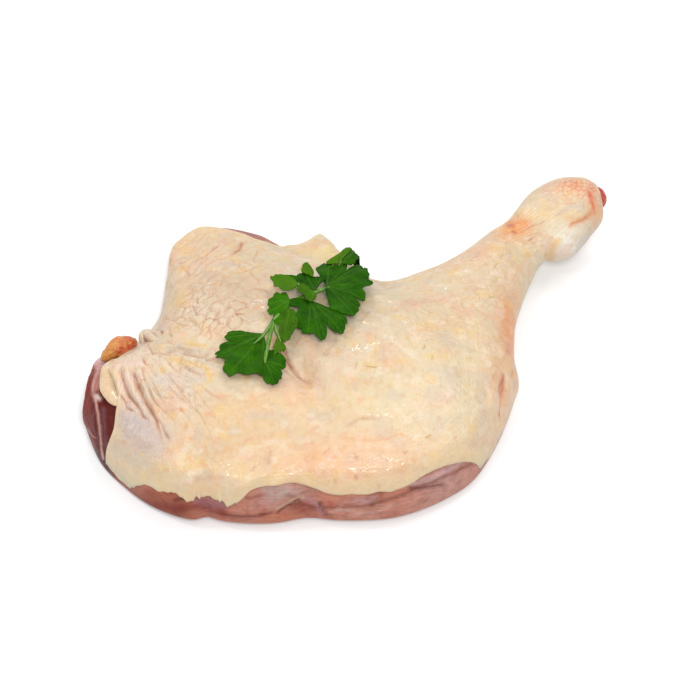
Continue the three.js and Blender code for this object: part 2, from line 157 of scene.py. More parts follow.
def along(values, share):
    """Catmull-Rom values of a list at shares from 0 to 1 of the way along it."""
    values = np.asarray(values, float)
    last = len(values) - 1
    ends = (2 * values[:1] - values[1:2], 2 * values[-1:] - values[-2:-1])
    padded = np.concatenate([ends[0], values, ends[1]])
    scaled = np.clip(share, 0, 1) * last
    index = np.minimum(np.floor(scaled).astype(int), last - 1)
    t = scaled - index
    if values.ndim > 1:
        t = t[..., None]
    a, b, c, d = (padded[index + k] for k in range(4))
    square = 2 * a - 5 * b + 4 * c - d
    cube = 3 * b - a - 3 * c + d
    return b + 0.5 * t * (c - a + t * (square + t * cube))


def hashed(cells, seed):
    """A random number from 0 to 1 for each cell of a lattice, always the same one."""
    value = np.full(cells.shape[:-1], seed + 1, np.uint32)
    for axis in range(cells.shape[-1]):
        value = (value ^ cells[..., axis].astype(np.uint32)) * np.uint32(2654435761)
        value ^= value >> np.uint32(15)
        value *= np.uint32(2246822519)
        value ^= value >> np.uint32(13)
    return value / 2.0**32


def noise(points, size, seed):
    """Smooth noise from -1 to 1 whose features have the given size."""
    scaled = points / np.asarray(size, float)
    cell = np.floor(scaled).astype(np.int64)
    t = scaled - cell
    t = t * t * (3 - 2 * t)
    total = 0
    for corner in itertools.product((0, 1), repeat=points.shape[-1]):
        weight = np.prod(np.where(corner, t, 1 - t), axis=-1)
        total = total + weight * hashed(cell + corner, seed)
    return 2 * total - 1


def rough_noise(points, size, seed, octaves=3):
    """Noise with finer and weaker noise added to it."""
    return sum(noise(points, np.asarray(size) / 2**k, seed + k) / 2**k for k in range(octaves)) / 1.6


def cells(points, seed, jitter=0.85, middles=False):
    """How far points in plan, scaled to cells of size 1, lie from the border between two cells, or
    from the middle of their cell."""
    cell = np.floor(points).astype(np.int64)
    nearest = np.full(points.shape[:-1], 9.0)
    second = nearest.copy()
    for offset in itertools.product((-1, 0, 1), repeat=2):
        corner = cell + offset
        shift = np.stack([hashed(corner, seed), hashed(corner, seed + 50)], -1)
        distance = np.linalg.norm(corner + 0.5 + jitter * (shift - 0.5) - points, axis=-1)
        second = np.minimum(second, np.maximum(nearest, distance))
        nearest = np.minimum(nearest, distance)
    return nearest if middles else second - nearest


def swell_at(swells, x, y):
    """Summed height of soft oval swells at points in plan."""
    total = 0
    for centre_x, centre_y, lengthwise, across, turn, height in swells:
        angle = math.radians(turn)
        dx = x - centre_x
        dy = y - centre_y
        a = (dx * math.cos(angle) + dy * math.sin(angle)) / lengthwise
        c = (dy * math.cos(angle) - dx * math.sin(angle)) / across
        total = total + height * np.exp(-a * a - c * c)
    return total


def patch_share(patches, points):
    """How strongly soft patches cover points in plan, from 0 to 1."""
    return np.clip(swell_at(patches, points[..., 0], points[..., 1]), 0, 1)


def shifts(plan, size, first_seed, second_seed):
    """Uneven shifts in plan, which make what is drawn at the shifted points wavy."""
    return np.stack([rough_noise(plan, size, seed) for seed in (first_seed, second_seed)], -1)


def faded(share, start, end):
    """1 between two shares of a line, and a smooth fall to 0 at both its ends."""
    return smooth(share, 0, start) * (1 - smooth(share, end, 1))


def section_at(share):
    """The sections at shares from 0 to 1 of the way from the hock to the hip."""
    values = along(SECTIONS, share)
    far = [values[..., k] for k in range(3)]
    near = [values[..., k + 3] for k in range(3)]
    width = np.hypot(far[0] - near[0], far[1] - near[1])
    for wave_place, reach, out in SIDE_WAVES:
        moved = out * np.exp(-(((share - wave_place) / reach) ** 2)) / width
        near[0] = near[0] + moved * (near[0] - far[0])
        near[1] = near[1] + moved * (near[1] - far[1])
    return {
        "far": far,
        "near": near,
        "width": width,
        "open": smooth(share, SLEEVE_END, SHEET_START),
        "rise": values[..., 6],
        "drop": values[..., 7],
        "shoulders": (values[..., 8], values[..., 9]),
    }


def body_point(s, across):
    """Plan place and upper and lower height of the body at shares across its sections."""
    x, y, side = (mix(s["far"][k], s["near"][k], across) for k in range(3))
    far_distance = across * s["width"]
    near_distance = (1 - across) * s["width"]
    far_width = s["width"] * s["shoulders"][0]
    near_width = s["width"] * s["shoulders"][1]
    far_slope = smooth(far_distance, 0, far_width)
    far_round = mix(quarter_round(far_distance, far_width), far_slope, FAR_SLOPE * s["open"])
    near_steep = quarter_round(near_distance, MEAT_EDGE)
    near_round = mix(quarter_round(near_distance, near_width), near_steep, NEAR_SLOPE * s["open"])
    droop = DROOP * np.minimum(np.minimum(far_distance, near_distance), 0)
    swell = swell_at(SWELLS, x, y) * s["open"]
    top = side + droop + (s["rise"] + swell) * far_round * near_round
    under = quarter_round(far_distance, TUCKED_UNDER * far_width) * near_round
    bottom = side - s["drop"] * mix(far_round * near_round, under, s["open"])
    return x, y, top, np.maximum(bottom, 0)


def skin_grid(share, across):
    """The skin's upper and lower surface, how far each point is from the open rim, and how open
    the skin is there, from 0 on its sleeve to 1 on its sheet."""
    reached = share * along(HIP_RIM, across)
    s = section_at(reached)
    lap_place = (reached - LAP_RANGE[0]) / (LAP_RANGE[1] - LAP_RANGE[0])
    place_points = np.stack([reached * LEG_LENGTH, np.zeros_like(reached)], -1)
    uneven = RIM_WAVES * rough_noise(place_points, 5.0, SEED + 3)
    far_lap = s["open"] * (along(FAR_LAPS, lap_place) + uneven)
    ragged = smooth(reached, *FRINGE_START) * (1 - smooth(reached, *FRINGE_END))
    fringe = FRINGE * ragged * np.abs(noise(place_points, 1.3, SEED + 6))
    near_lap = s["open"] * (along(NEAR_LAPS, lap_place) + uneven + fringe)
    body = mix(-far_lap / s["width"], 1 + near_lap / s["width"], across)
    x, y, top, bottom = body_point(s, body)
    rim_width = s["width"] + far_lap + near_lap
    rim = np.minimum(np.minimum(across, 1 - across) * rim_width, (1 - share) * LEG_LENGTH)
    plan = np.stack([x, y], -1)
    thickness = SKIN_THICKNESS * (0.8 + 0.3 * noise(plan, 9.0, SEED + 5))
    edge = 0.35 * thickness + 0.4
    half = 0.5 * thickness
    upper = top + s["open"] * (SKIN_LIFT + half * (1 + quarter_round(rim, edge)))
    under = top + SKIN_LIFT + half * (1 - quarter_round(rim, edge))
    lower = np.maximum(mix(bottom, under, s["open"]), 0)
    return np.stack([x, y, upper], -1), np.stack([x, y, lower], -1), rim, s["open"]


# Folds of the skin in plan: points, half width in millimetres, height.
RIDGES = (
    (((-85.1, -19.8), (-86.6, -24.8), (-86.9, -28.3), (-85.0, -33.6)), 1.5, 0.9),
    (((-83.6, -19.5), (-81.6, -26.8), (-79.8, -32.3), (-78.1, -37.1), (-75.1, -44.0)), 1.5, 1.3),
    (((-79.4, -21.3), (-76.8, -28.2), (-74.4, -36.4), (-71.8, -42.8), (-69.5, -47.3)), 1.4, 1.2),
    (((-79.5, -11.2), (-76.0, -12.3), (-71.9, -14.2), (-67.3, -15.2), (-62.8, -15.6), (-57.2, -16.6),
      (-53.1, -16.2), (-50.6, -14.0)), 1.5, 1.5),
    (((-76.5, 2.5), (-73.5, 0.8), (-71.5, -3.5)), 1.4, 1.2),
    (((-81.3, -47.4), (-78.6, -51.7), (-75.2, -55.1), (-72.1, -57.5), (-69.9, -59.6)), 2.4, 0.9),
    (((-3.6, -52.6), (4.0, -49.2), (10.8, -48.2), (18.8, -48.4)), 1.5, 0.6),
    (((50.0, -12), (52.4, -23), (52.4, -34), (50.5, -44)), 1.6, 0.6),
    (((58.5, -22), (58.8, -29), (57.6, -37)), 1.6, 0.8),
)
# Creases of the skin in plan: points, half width, depth, how strongly its painted shade shows.
CREASES = (
    (((-86.3, -32.6), (-83.6, -36.5), (-82.4, -39.0), (-81.1, -42.3), (-78.8, -45.1), (-76.9, -47.5)),
     0.55, 1.3, 0.8),
    (((-85.0, -20.6), (-84.2, -26.9), (-82.8, -31.7), (-81.0, -36.5), (-79.5, -39.0), (-77.0, -43.4),
      (-75.4, -46.8), (-73.1, -49.7), (-71.9, -53.1)), 0.6, 1.9, 0.95),
    (((-80.7, -22.6), (-79.0, -27.7), (-77.7, -32.3), (-75.8, -37.7), (-74.1, -41.8), (-72.1, -45.8),
      (-70.5, -49.1), (-69.7, -52.1), (-68.5, -55.8), (-67.7, -59.9)), 0.7, 2.3, 1.2),
    (((-74.3, -31.7), (-72.4, -38.0), (-70.0, -42.6), (-67.7, -45.5), (-65.1, -48.4), (-62.8, -50.8)),
     0.45, 1.3, 0.55),
    (((-73.1, -32.6), (-70.7, -37.1), (-68.8, -38.8), (-66.2, -39.7), (-63.7, -40.0)), 0.5, 1.2, 0.5),
    (((-70.5, -49.1), (-68.2, -51.9), (-66.3, -55.6), (-64.4, -58.6)), 0.5, 1.2, 0.5),
    (((-67.0, -32.4), (-64.6, -36.5), (-61.8, -39.9), (-59.5, -42.4)), 0.4, 0.9, 0.4),
    (((-59.8, -36.7), (-58.2, -39.5), (-57.1, -37.9), (-56.3, -41.0), (-56.9, -44.8)), 0.35, 0.7, 0.4),
    (((-76.3, -22.6), (-75.6, -28.7), (-74.6, -33.2)), 0.45, 1.0, 0.45),
    (((-63.5, -18.3), (-59.8, -18.7), (-56.8, -19.8), (-54.1, -19.9), (-52.4, -18.6), (-50.9, -16.6)),
     0.55, 1.6, 0.9),
    (((-53.6, -22.4), (-51.1, -21.8), (-48.2, -21.1), (-45.5, -20.6)), 0.75, 1.3, 1.1),
    (((-80.4, -16.8), (-77.1, -16.7), (-73.3, -16.9), (-69.1, -18.3), (-65.8, -17.5), (-62.0, -18.4)),
     0.45, 1.3, 0.7),
    (((-76.4, -6.1), (-75.1, -12.6), (-73.7, -16.3), (-72.5, -18.9)), 0.45, 1.1, 0.8),
    (((-77.4, -18.0), (-75.6, -22.1), (-74.0, -24.0)), 0.45, 0.9, 0.8),
    (((-68.8, -10.8), (-66.7, -13.2), (-64.4, -14.4)), 0.4, 0.8, 0.45),
    (((-75.6, 1.3), (-74.5, 4.0), (-72.0, 1.5), (-70.8, -3.1), (-70.8, -6.8), (-72.4, -7.8)),
     0.4, 0.9, 0.45),
    (((-71.4, 0.2), (-70.8, -2.5), (-70.9, -4.5)), 0.5, 0.6, 1.2),
    (((-77.4, 6.7), (-77.4, 4.0), (-76.2, -4.5)), 0.6, 1.1, 0.9),
    (((-23.6, -17.6), (-22.8, -21.2), (-21.3, -24.8), (-18.7, -28.5), (-15.4, -31.5), (-13.1, -35.8)),
     0.8, 1.9, 1.0),
    (((-23.3, -15.3), (-24.0, -18.6), (-24.7, -21.1)), 0.6, 1.0, 0.7),
    (((-24.6, -25.7), (-22.0, -28.7), (-19.0, -30.2)), 0.6, 1.0, 0.6),
    (((-4.3, -54.0), (0.7, -52.1), (4.0, -50.8), (7.2, -50.2), (10.8, -50.3), (18.8, -50.6)),
     0.5, 0.6, 0.5),
    (((7.9, 11.6), (11.3, 13.1), (15.1, 16.0), (19.3, 16.0)), 0.5, 0.4, 0.35),
    (((9.4, 7.0), (11.2, 4.8), (10.5, 3.6)), 0.4, 0.4, 0.4),
    (((56.9, -25.0), (55.7, -28.5), (55.2, -31.1), (55.6, -33.1)), 0.4, 0.7, 0.9),
    (((55.6, -33.0), (55.5, -36.0), (55.2, -38.2), (55.2, -41.9)), 0.35, 0.5, 0.6),
    (((61.0, -19.1), (60.6, -21.1), (60.1, -23.0)), 0.5, 0.6, 0.7),
    (((59.5, -8.3), (58.4, -14.6), (56.7, -18.9), (55.4, -21.6)), 0.5, 0.5, 0.4),
    (((53.4, -25.1), (51.8, -30.8), (51.3, -34.5)), 0.5, 0.5, 0.4),
    (((-6.8, -61.0), (-8.3, -62.5), (-10.4, -64.1)), 0.4, 0.6, 0.6),
    (((-28.8, -61.0), (-29.1, -63.9), (-29.8, -67.5)), 0.8, 0.8, 0.5),
    (((-36.6, -68.9), (-33.7, -66.8), (-31.6, -65.0)), 0.5, 0.6, 0.4),
    (((66.0, 36.9), (69.2, 40.5), (72.4, 43.4), (75.6, 45.4)), 0.5, 0.7, 0.5),
    (((65.1, 43.1), (69.4, 46.1), (73.3, 47.6), (77.2, 48.6)), 0.45, 0.6, 0.4),
    (((63.5, 43.6), (65.9, 43.7), (67.8, 45.2)), 0.4, 0.5, 0.5),
    (((84.9, 46.9), (88.1, 48.7), (90.9, 50.7), (93.8, 53.6)), 0.5, 0.7, 0.8),
    (((76.5, 51.9), (81.2, 54.5), (87.0, 55.2), (91.0, 55.7)), 0.4, 0.4, 0.3),
    (((79.5, 49.7), (81.9, 52.0), (85.0, 52.8)), 0.4, 0.4, 0.3),
    (((63.9, 58.1), (65.4, 50.9), (67.4, 52.9)), 0.4, 0.5, 0.6),
)
# Thin lines on the flap.
FLAP_LINES = (
    ((-55.3, 39.4), (-55.5, 35.4), (-57.7, 33.3), (-60.2, 29.8), (-63.1, 25.5)),
    ((-45.2, 39.4), (-47.8, 36.1), (-51.1, 34.1), (-54.5, 31.1), (-56.2, 27.9)),
    ((-33.7, 31.5), (-36.7, 28.4), (-39.3, 25.9), (-42.6, 24.4), (-45.6, 23.0)),
    ((-38.1, 26.7), (-37.3, 22.9), (-35.2, 19.5), (-34.3, 14.1)),
    ((-47.2, 23.3), (-47.4, 19.2), (-48.8, 16.1), (-51.3, 12.7)),
    ((-48.1, 26.4), (-51.0, 22.5), (-53.5, 20.4), (-55.3, 17.5), (-56.7, 14.0), (-57.6, 9.8)),
    ((-30.5, 10.5), (-31.3, 12.3), (-33.5, 13.5), (-35.8, 13.5), (-38.4, 12.3), (-40.2, 9.9)),
    ((-36.0, 5.8), (-38.5, 3.0), (-41.1, 1.3), (-43.2, -1.1), (-44.3, -4.5), (-46.0, -7.4),
     (-48.2, -9.8), (-50.7, -12.3)),
    ((-42.9, 10.6), (-45.1, 9.5), (-46.9, 7.4), (-47.9, 4.6)),
    ((-49.5, 6.5), (-51.4, 5.5), (-52.8, 2.9), (-53.8, 0.2)),
    ((-45.4, 6.1), (-45.3, 3.3), (-46.3, 0.6), (-47.4, -0.8)),
    ((-54.0, -2.8), (-54.6, -6.4), (-55.2, -10.4), (-57.0, -11.8), (-60.0, -13.1)),
    ((-55.1, 3.9), (-58.1, 3.3), (-60.2, 1.5), (-60.9, -0.7)),
    ((-48.9, 1.3), (-49.6, -2.2), (-51.0, -4.6)),
    ((-32.8, -3.2), (-35.4, -4.1), (-37.5, -5.2), (-38.6, -7.2)),
    ((-35.2, -9.6), (-37.8, -11.1), (-39.2, -13.8)),
    ((-51.3, -5.1), (-52.3, -8.1), (-51.8, -12.2), (-54.0, -14.4)),
    ((-39.9, -2.2), (-40.1, -5.7), (-41.6, -8.1), (-44.1, -9.9)),
    ((-58.4, 17.3), (-60.5, 14.1), (-62.7, 11.8)),
    ((-64.4, 34.0), (-62.1, 28.7), (-63.9, 25.3)),
    ((-66.8, 39.9), (-64.3, 38.4), (-62.4, 40.3)),
    ((-55.5, 29.1), (-58.1, 26.5), (-61.1, 25.1)),
    ((-41.6, 17.4), (-44.6, 15.6), (-46.3, 12.7)),
    ((-60.4, -2.0), (-57.7, -4.5), (-57.2, -8.3)),
    ((-65.0, -2.1), (-62.2, -5.5), (-59.5, -5.5)),
    ((-67.4, -2.2), (-67.4, -7.5), (-65.3, -11.2)),
    ((-36.1, 44.4), (-36.3, 39.0), (-37.3, 34.3), (-35.7, 32.0)),
)
FLAP_SLITS = (
    (((-50.0, 50.0), (-53.2, 43.6), (-55.7, 40.4), (-59.1, 37.1), (-60.1, 34.4)), 0.5, 0.9, 0.8),
    (((-42.0, 51.5), (-42.3, 47.5), (-43.4, 43.4), (-45.2, 39.4), (-46.5, 37.5)), 0.8, 1.3, 1.2),
)
FLAP_LINE_DEPTH = 0.6


def line_distance(plan, line, margin=6.0):
    """How far points in plan lie from a smooth line, and the nearest place along it from 0 to 1."""
    curve = along(line, np.linspace(0, 1, 9 * len(line)))
    distance = np.full(plan.shape[:-1], 99.0)
    share = np.zeros(plan.shape[:-1])
    low = curve.min(0) - margin
    high = curve.max(0) + margin
    inside = np.all((plan > low) & (plan < high), axis=-1)
    points = plan[inside]
    best = np.full(len(points), 99.0)
    where = np.zeros(len(points))
    for k, (start, end) in enumerate(zip(curve[:-1], curve[1:])):
        step = end - start
        t = np.clip((points - start) @ step / (step @ step), 0, 1)
        gap = np.linalg.norm(points - start - t[:, None] * step, axis=1)
        closer = gap < best
        best[closer] = gap[closer]
        where[closer] = ((k + t) / (len(curve) - 1))[closer]
    distance[inside] = best
    share[inside] = where
    return distance, share


def fold_relief(plan):
    """Height of the drawn ridges and creases, and how much painted shade shows in the creases."""
    wavy = plan + 0.3 * np.stack([noise(plan, 3.0, 21), noise(plan, 3.0, 22)], -1)
    uneven = 0.75 + 0.25 * noise(plan, 3.0, 23)
    height = np.zeros(plan.shape[:-1])
    colour = np.zeros(plan.shape[:-1])
    for line, half_width, rise in RIDGES:
        distance, share = line_distance(wavy, line, 3 * half_width)
        ends = faded(share, 0.2, 0.75)
        height += rise * ends * np.exp(-((distance / half_width) ** 2))
    thin = tuple((line, 0.34, FLAP_LINE_DEPTH, 0.75) for line in FLAP_LINES)
    for line, half_width, depth, strength in CREASES + FLAP_SLITS + thin:
        distance, share = line_distance(wavy, line)
        ends = faded(share, 0.15, 0.7) * uneven
        height -= depth * ends * np.exp(-distance / half_width)
        colour = np.maximum(colour, strength * ends * np.exp(-distance / (0.75 * half_width)))
    return height, colour


# Where the skin has which kind of wrinkles: x, y, half lengths along and across, turn, strength.
LONG_CELLS = (
    (-50, 34, 20, 20, -20, 0.9),
)
ROUND_CELLS = (
    (-56, 4, 15, 13, 0, 1.0),
    (-40, -3, 14, 12, 0, 0.8),
    (-60, -24, 12, 6, 0, 0.5),
)
SMALL_CELLS = (
    (28, -8, 36, 26, 50, 0.9),
    (50, 22, 16, 22, -30, 0.8),
    (-30, 34, 20, 14, 0, 0.6),
    (-58, -34, 16, 12, -30, 0.9),
)
FAN_PATCHES = (
    (-68, -34, 16, 11, -50, 1.0),
    (-56, -42, 12, 8, -50, 0.9),
    (-84, -34, 5, 14, 0, 0.5),
    (-60, -24, 16, 8, -20, 0.7),
)
PORE_PATCHES = (
    (-34, -54, 34, 14, 0, 1.0),
    (10, -60, 34, 12, 12, 0.9),
    (30, -46, 26, 16, 30, 0.9),
    (-66, -66, 20, 8, 0, 0.5),
)
SMOOTH_BAND = ((-66, -71.5), (-57.5, -72.7), (-47.5, -73.3), (-38.4, -73.3), (-30.1, -69.5))
CRINKLED = (
    (-54, 4, 13, 8, -20, 1.0),
    (-80, -34, 7, 13, -20, 0.8),
    (-44, -2, 10, 8, 0, 0.7),
    (-76, -52, 10, 6, -50, 1.0),
    (-62, -28, 12, 7, 0, 0.7),
    (-52, -47, 7, 5, 0, 0.8),
    (14, -52, 9, 4, 5, 0.7),
    (10, -68, 14, 6, 5, 0.8),
)
HOCK_LINES = (
    (68, 46, 14, 10, 45, 1.0),
)
FAN_CENTRE = (-80.0, -12.0)


def cell_net(plan, length, width, turn, seed):
    """How far points lie from the borders of cells that are longer in one direction."""
    angle = math.radians(turn)
    x, y = plan[..., 0], plan[..., 1]
    return cells(np.stack([
        (x * math.cos(angle) + y * math.sin(angle)) / length,
        (y * math.cos(angle) - x * math.sin(angle)) / width,
    ], -1), seed)


def wrinkle_relief(points):
    """Height of the fine net of wrinkles and pores, and how much painted shade shows in the wrinkle lines.
    """
    plan = points[..., :2]
    x, y = plan[..., 0], plan[..., 1]
    warp = shifts(plan, 7.0, 31, 35)
    gaps = smooth(noise(plan, 6.0, 42), -0.6, 0.4)
    height = np.zeros(plan.shape[:-1])
    colour = np.zeros(plan.shape[:-1])
    nets = (
        (LONG_CELLS, 8.5, 4.4, 47, 41, 0.8, 0.75),
        (ROUND_CELLS, 5.4, 4.2, 40, 43, 1.1, 0.85),
        (SMALL_CELLS, 3.8, 2.8, 20, 44, 0.28, 0.2),
    )
    for patches, length, width, turn, seed, puff, strength in nets:
        border = cell_net(plan + 0.9 * warp, length, width, turn, seed)
        shown = patch_share(patches, plan)
        height += shown * puff * (np.sqrt(np.clip(border, 0, 0.5) / 0.5) - 0.7) * (0.4 + 0.6 * gaps)
        colour = np.maximum(colour, shown * gaps * (1 - smooth(border, 0.0, 0.09)) * strength)

    dx = x - FAN_CENTRE[0] + 0.8 * warp[..., 0]
    dy = y - FAN_CENTRE[1] + 0.8 * warp[..., 1]
    reach = np.hypot(dx, dy)
    turn = np.arctan2(dy, dx)
    fanned = patch_share(FAN_PATCHES, plan)
    for rays, length, seed, depth in ((13, 14, 45, 0.6), (26, 9, 46, 0.35)):
        streaks = np.abs(noise(np.stack([turn * rays, reach / length], -1), 1.0, seed))
        height += fanned * depth * (0.3 - np.exp(-streaks / 0.12))
        colour = np.maximum(colour, fanned * 0.5 * np.exp(-streaks / 0.05))

    band = line_distance(plan, SMOOTH_BAND)[0]
    pores = patch_share(PORE_PATCHES, plan) * smooth(band, 1.8, 3.6)
    pits = cells((plan + 0.6 * warp) / 1.5, 47)
    height += pores * 0.13 * (smooth(pits, 0, 0.5) - 0.5)
    height += 0.8 * np.exp(-((band / 1.8) ** 2))
    fine = cells((plan + warp) / np.array([2.4, 1.9]), 49)
    height += 0.07 * (smooth(fine, 0, 0.4) - 0.5)
    height += 0.1 * rough_noise(points, 2.6, 48)
    height += 0.35 * rough_noise(points, 10.0, 52)
    crinkled = patch_share(CRINKLED, plan)
    height += crinkled * 0.34 * rough_noise(points, 1.7, 53)

    tendons = patch_share(HOCK_LINES, plan)
    beside = (x * 0.55 - y * 0.83) / 1.6 + 0.5 * warp[..., 0]
    height += tendons * 0.14 * np.sin(2 * math.pi * beside)
    return height, colour


def seen_as(red, green, blue):
    """The linear colour of a surface that looks like this, from 0 to 255, in these lights."""
    values = np.array([red, green, blue]) / 255
    linear = np.where(values <= 0.04045, values / 12.92, ((values + 0.055) / 1.055) ** 2.4)
    return linear / LIGHT


# Washes of colour on the skin: x, y, half lengths along and across, turn, colour, strength.
CREAM = (234, 214, 178)
WASHES = (
    (-64, 40, 8, 24, 8, (253, 205, 160), 0.8),  # outer edge of the flap
    (-66, 14, 4, 13, -8, (250, 210, 140), 0.8),
    (-48, 58, 22, 6, 0, (252, 208, 160), 0.6),
    (-54, 34, 12, 14, -30, (250, 208, 176), 0.6),
    (-9, 47, 10, 9, 10, (252, 222, 148), 1.0),  # flap's corner
    (-28, 40, 16, 12, 0, (230, 208, 168), 0.6),
    (-46, 14, 16, 12, 0, (216, 190, 158), 0.8),
    (-54, 2, 12, 8, 0, (234, 216, 196), 0.6),  # flap's valley
    (-36, 4, 14, 12, 0, (222, 194, 168), 0.6),
    (-70, 0, 8, 7, 0, (242, 206, 186), 0.5),
    (-80, -28, 8, 16, 0, (255, 226, 210), 0.95),  # pleats
    (-76, -52, 12, 9, -50, (216, 197, 188), 0.9),  # muscle under the skin at the hip
    (-60, -36, 14, 12, -40, (226, 210, 184), 0.6),
    (-66, -31, 11, 8, -40, (236, 220, 206), 0.8),
    (-50, -44, 9, 8, 0, (238, 204, 178), 0.4),
    (-56, -24, 12, 8, 0, (226, 212, 194), 0.6),
    (-30, -44, 22, 6, 12, (247, 208, 146), 0.6),  # fold of fat below the parsley
    (-34, -58, 24, 12, 0, (236, 196, 150), 0.7),
    (-54, -62, 12, 8, 0, (226, 188, 144), 0.7),
    (-46, -70, 20, 5, 0, (248, 214, 160), 0.5),
    (-70, -66, 14, 7, 0, (232, 208, 172), 0.6),
    (-2, -66, 26, 9, 5, (255, 196, 152), 0.85),  # front of the thigh
    (18, -58, 18, 8, 20, (250, 206, 166), 0.4),
    (-6, -46, 20, 6, 8, (250, 214, 160), 0.5),
    (-16, -30, 14, 14, 0, (246, 216, 186), 0.5),
    (2, -24, 16, 16, 0, (234, 208, 182), 0.5),  # drumstick
    (5, -37.3, 4, 2.5, 0, (240, 170, 110), 0.45),
    (22, -10, 24, 14, 0, (238, 216, 182), 0.4),
    (34, -30, 20, 14, 20, (242, 222, 182), 0.5),
    (12, -42, 14, 8, 0, (238, 224, 182), 0.6),
    (30, -46, 24, 11, 12, (246, 226, 188), 0.75),
    (15, -1, 10, 8, 0, (214, 192, 165), 0.5),
    (45, 10, 8, 18, -15, (228, 196, 166), 0.5),
    (38, -6, 10, 8, 0, (238, 204, 158), 0.5),
    (30, 27, 16, 5, 10, (236, 192, 160), 0.45),
    (20, 28, 20, 3, 3, (252, 212, 170), 0.6),  # its far edge
    (52, 35, 16, 8, 45, (242, 196, 156), 0.8),  # shank
    (61.5, -2, 5, 17, 0, (250, 152, 76), 1.0),
    (56, -30, 4, 14, 0, (240, 160, 110), 0.4),  # knee
    (58, -30, 8, 14, 0, (248, 200, 155), 0.5),
    (46, -56, 16, 7, 45, (248, 216, 172), 0.5),
    (63.5, 46.8, 6, 7, -40, (248, 150, 66), 1.2),  # stain where the hock begins
    (72, 57, 10, 8, 40, (255, 230, 182), 0.9),  # hock
    (87, 64, 9, 4.5, 10, (252, 184, 142), 0.9),
    (93, 64, 6, 10, 20, (246, 170, 128), 0.55),
    (94.5, 57, 2.4, 4.4, 10, (246, 150, 112), 0.7),
    (86, 51, 6, 1.5, 8, (214, 196, 180), 0.5),
    (80, 40, 9, 3, 35, (250, 214, 150), 0.6),
    # The heel pad's wash is near white: painted light over its pale colour.
    (84.5, 40, 10, 6, 35, (255, 252, 240), 1.1),  # heel pad
)
YELLOW = (246, 204, 122)
AMBER = (240, 168, 104)
RED = (196, 74, 52)
GREY = (206, 196, 184)
# Orange-brown painted shade for the creases and wrinkle lines.
CREASE_SHADE = (202, 108, 58)
# Streaks and spots on the skin in plan: points, half width, colour, strength.
SKIN_MARKS = (
    (((-66.0, -20.8), (-63.3, -21.7), (-58.1, -24.2), (-55.0, -25.9)), 1.3, YELLOW, 0.7),
    (((-53.0, -26.8), (-51.7, -29.5), (-51.3, -32.5)), 1.1, YELLOW, 0.85),
    (((-59.5, -15.2), (-54.3, -15.8)), 1.4, YELLOW, 0.7),
    (((-69.3, -25.5), (-69.0, -27.5)), 1.0, YELLOW, 0.7),
    (((-52.5, -47.9), (-50.0, -47.5)), 1.2, AMBER, 0.5),
    (((-47.8, -48.0), (-47.4, -45.0)), 1.2, YELLOW, 0.6),
    (((-47.5, -39.5), (-45.5, -40.8)), 1.3, AMBER, 0.45),
    (((-64.8, -47.5), (-64.5, -48.3)), 0.9, YELLOW, 0.8),
    (((-61.2, -45.5), (-61.0, -46.3)), 0.8, AMBER, 0.7),
    (((-59.2, -51.6), (-59.0, -52.4)), 0.9, AMBER, 0.6),
    (((-57.6, -56.6), (-57.2, -57.3)), 0.9, AMBER, 0.6),
    (((-53.8, -65.7), (-52.0, -66.1)), 0.7, AMBER, 0.6),
    (((-57.5, -64.1), (-57.0, -64.6)), 0.8, AMBER, 0.5),
    (((-65.5, -60.9), (-65.0, -61.4)), 0.9, AMBER, 0.6),
    (((-82.3, -54.7), (-82.0, -55.3)), 0.7, AMBER, 0.5),
    (((-64.0, 8.0), (-60.5, 7.5)), 1.3, AMBER, 0.5),
    (((-66.5, 12.0), (-64.5, 10.0)), 1.6, YELLOW, 0.7),
    (((-51.0, 17.0), (-50.0, 16.0)), 1.0, AMBER, 0.45),
    (((-36.5, 2.0), (-33.5, 3.5)), 1.0, AMBER, 0.4),
    (((-34.0, 9.0), (-31.0, 8.0)), 1.2, AMBER, 0.35),
    (((-2.2, -57.6), (8.3, -59.1), (18.3, -56.7), (22.3, -58.9)), 0.7, AMBER, 0.4),
    (((1.8, -64.9), (2.4, -65.3)), 0.6, RED, 0.5),
    (((1.8, -71.3), (2.4, -71.6)), 0.5, RED, 0.45),
    (((10.1, -72.0), (10.7, -72.4)), 0.5, RED, 0.5),
    (((19.4, -63.0), (20.0, -63.3)), 0.6, RED, 0.4),
    (((-5.7, -71.7), (-5.2, -72.0)), 0.5, RED, 0.4),
    (((16.0, -69.0), (23.3, -64.6)), 0.7, AMBER, 0.35),
    (((23.0, 3.0), (30.0, 5.0), (36.0, 6.0)), 2.2, (226, 176, 150), 0.5),
    (((59.3, -8.5), (59.4, -13.5)), 1.2, (236, 130, 84), 0.7),
    (((56.4, -24.5), (55.6, -32.5)), 0.9, (200, 92, 60), 0.7),
    (((61.7, 48.6), (62.2, 47.6)), 1.3, RED, 0.8),
    (((62.8, 43.8), (63.4, 43.2)), 0.9, RED, 0.7),
    (((61.0, 51.5), (68.0, 48.5)), 1.8, (242, 140, 66), 0.6),
    (((-80, -48), (-75, -53), (-70, -58)), 5.0, (206, 190, 188), 0.75),
    (((75.3, 38.3), (78.1, 40.5), (81.0, 42.1)), 0.8, YELLOW, 0.6),
    (((84.9, 46.9), (90.9, 50.7), (93.8, 53.6)), 0.8, (240, 150, 96), 0.6),
    (((87.9, 43.0), (91.1, 46.4), (93.9, 50.0)), 0.8, GREY, 0.5),
    (((79.5, 50.2), (85.0, 53.4), (90.0, 54.4)), 0.8, GREY, 0.5),
    # The next two marks are painted shade in the deep crease beside the small parsley leaflet.
    (((-24.2, -16.0), (-23.4, -20.0), (-21.6, -24.2)), 0.9, (146, 92, 68), 0.8),
    (((-21.6, -24.2), (-18.7, -28.5), (-15.4, -31.5)), 0.6, (190, 130, 96), 0.6),
    (((92.6, 60.5), (93.6, 57.5), (94.6, 54.5)), 0.9, (234, 108, 66), 0.85),
)
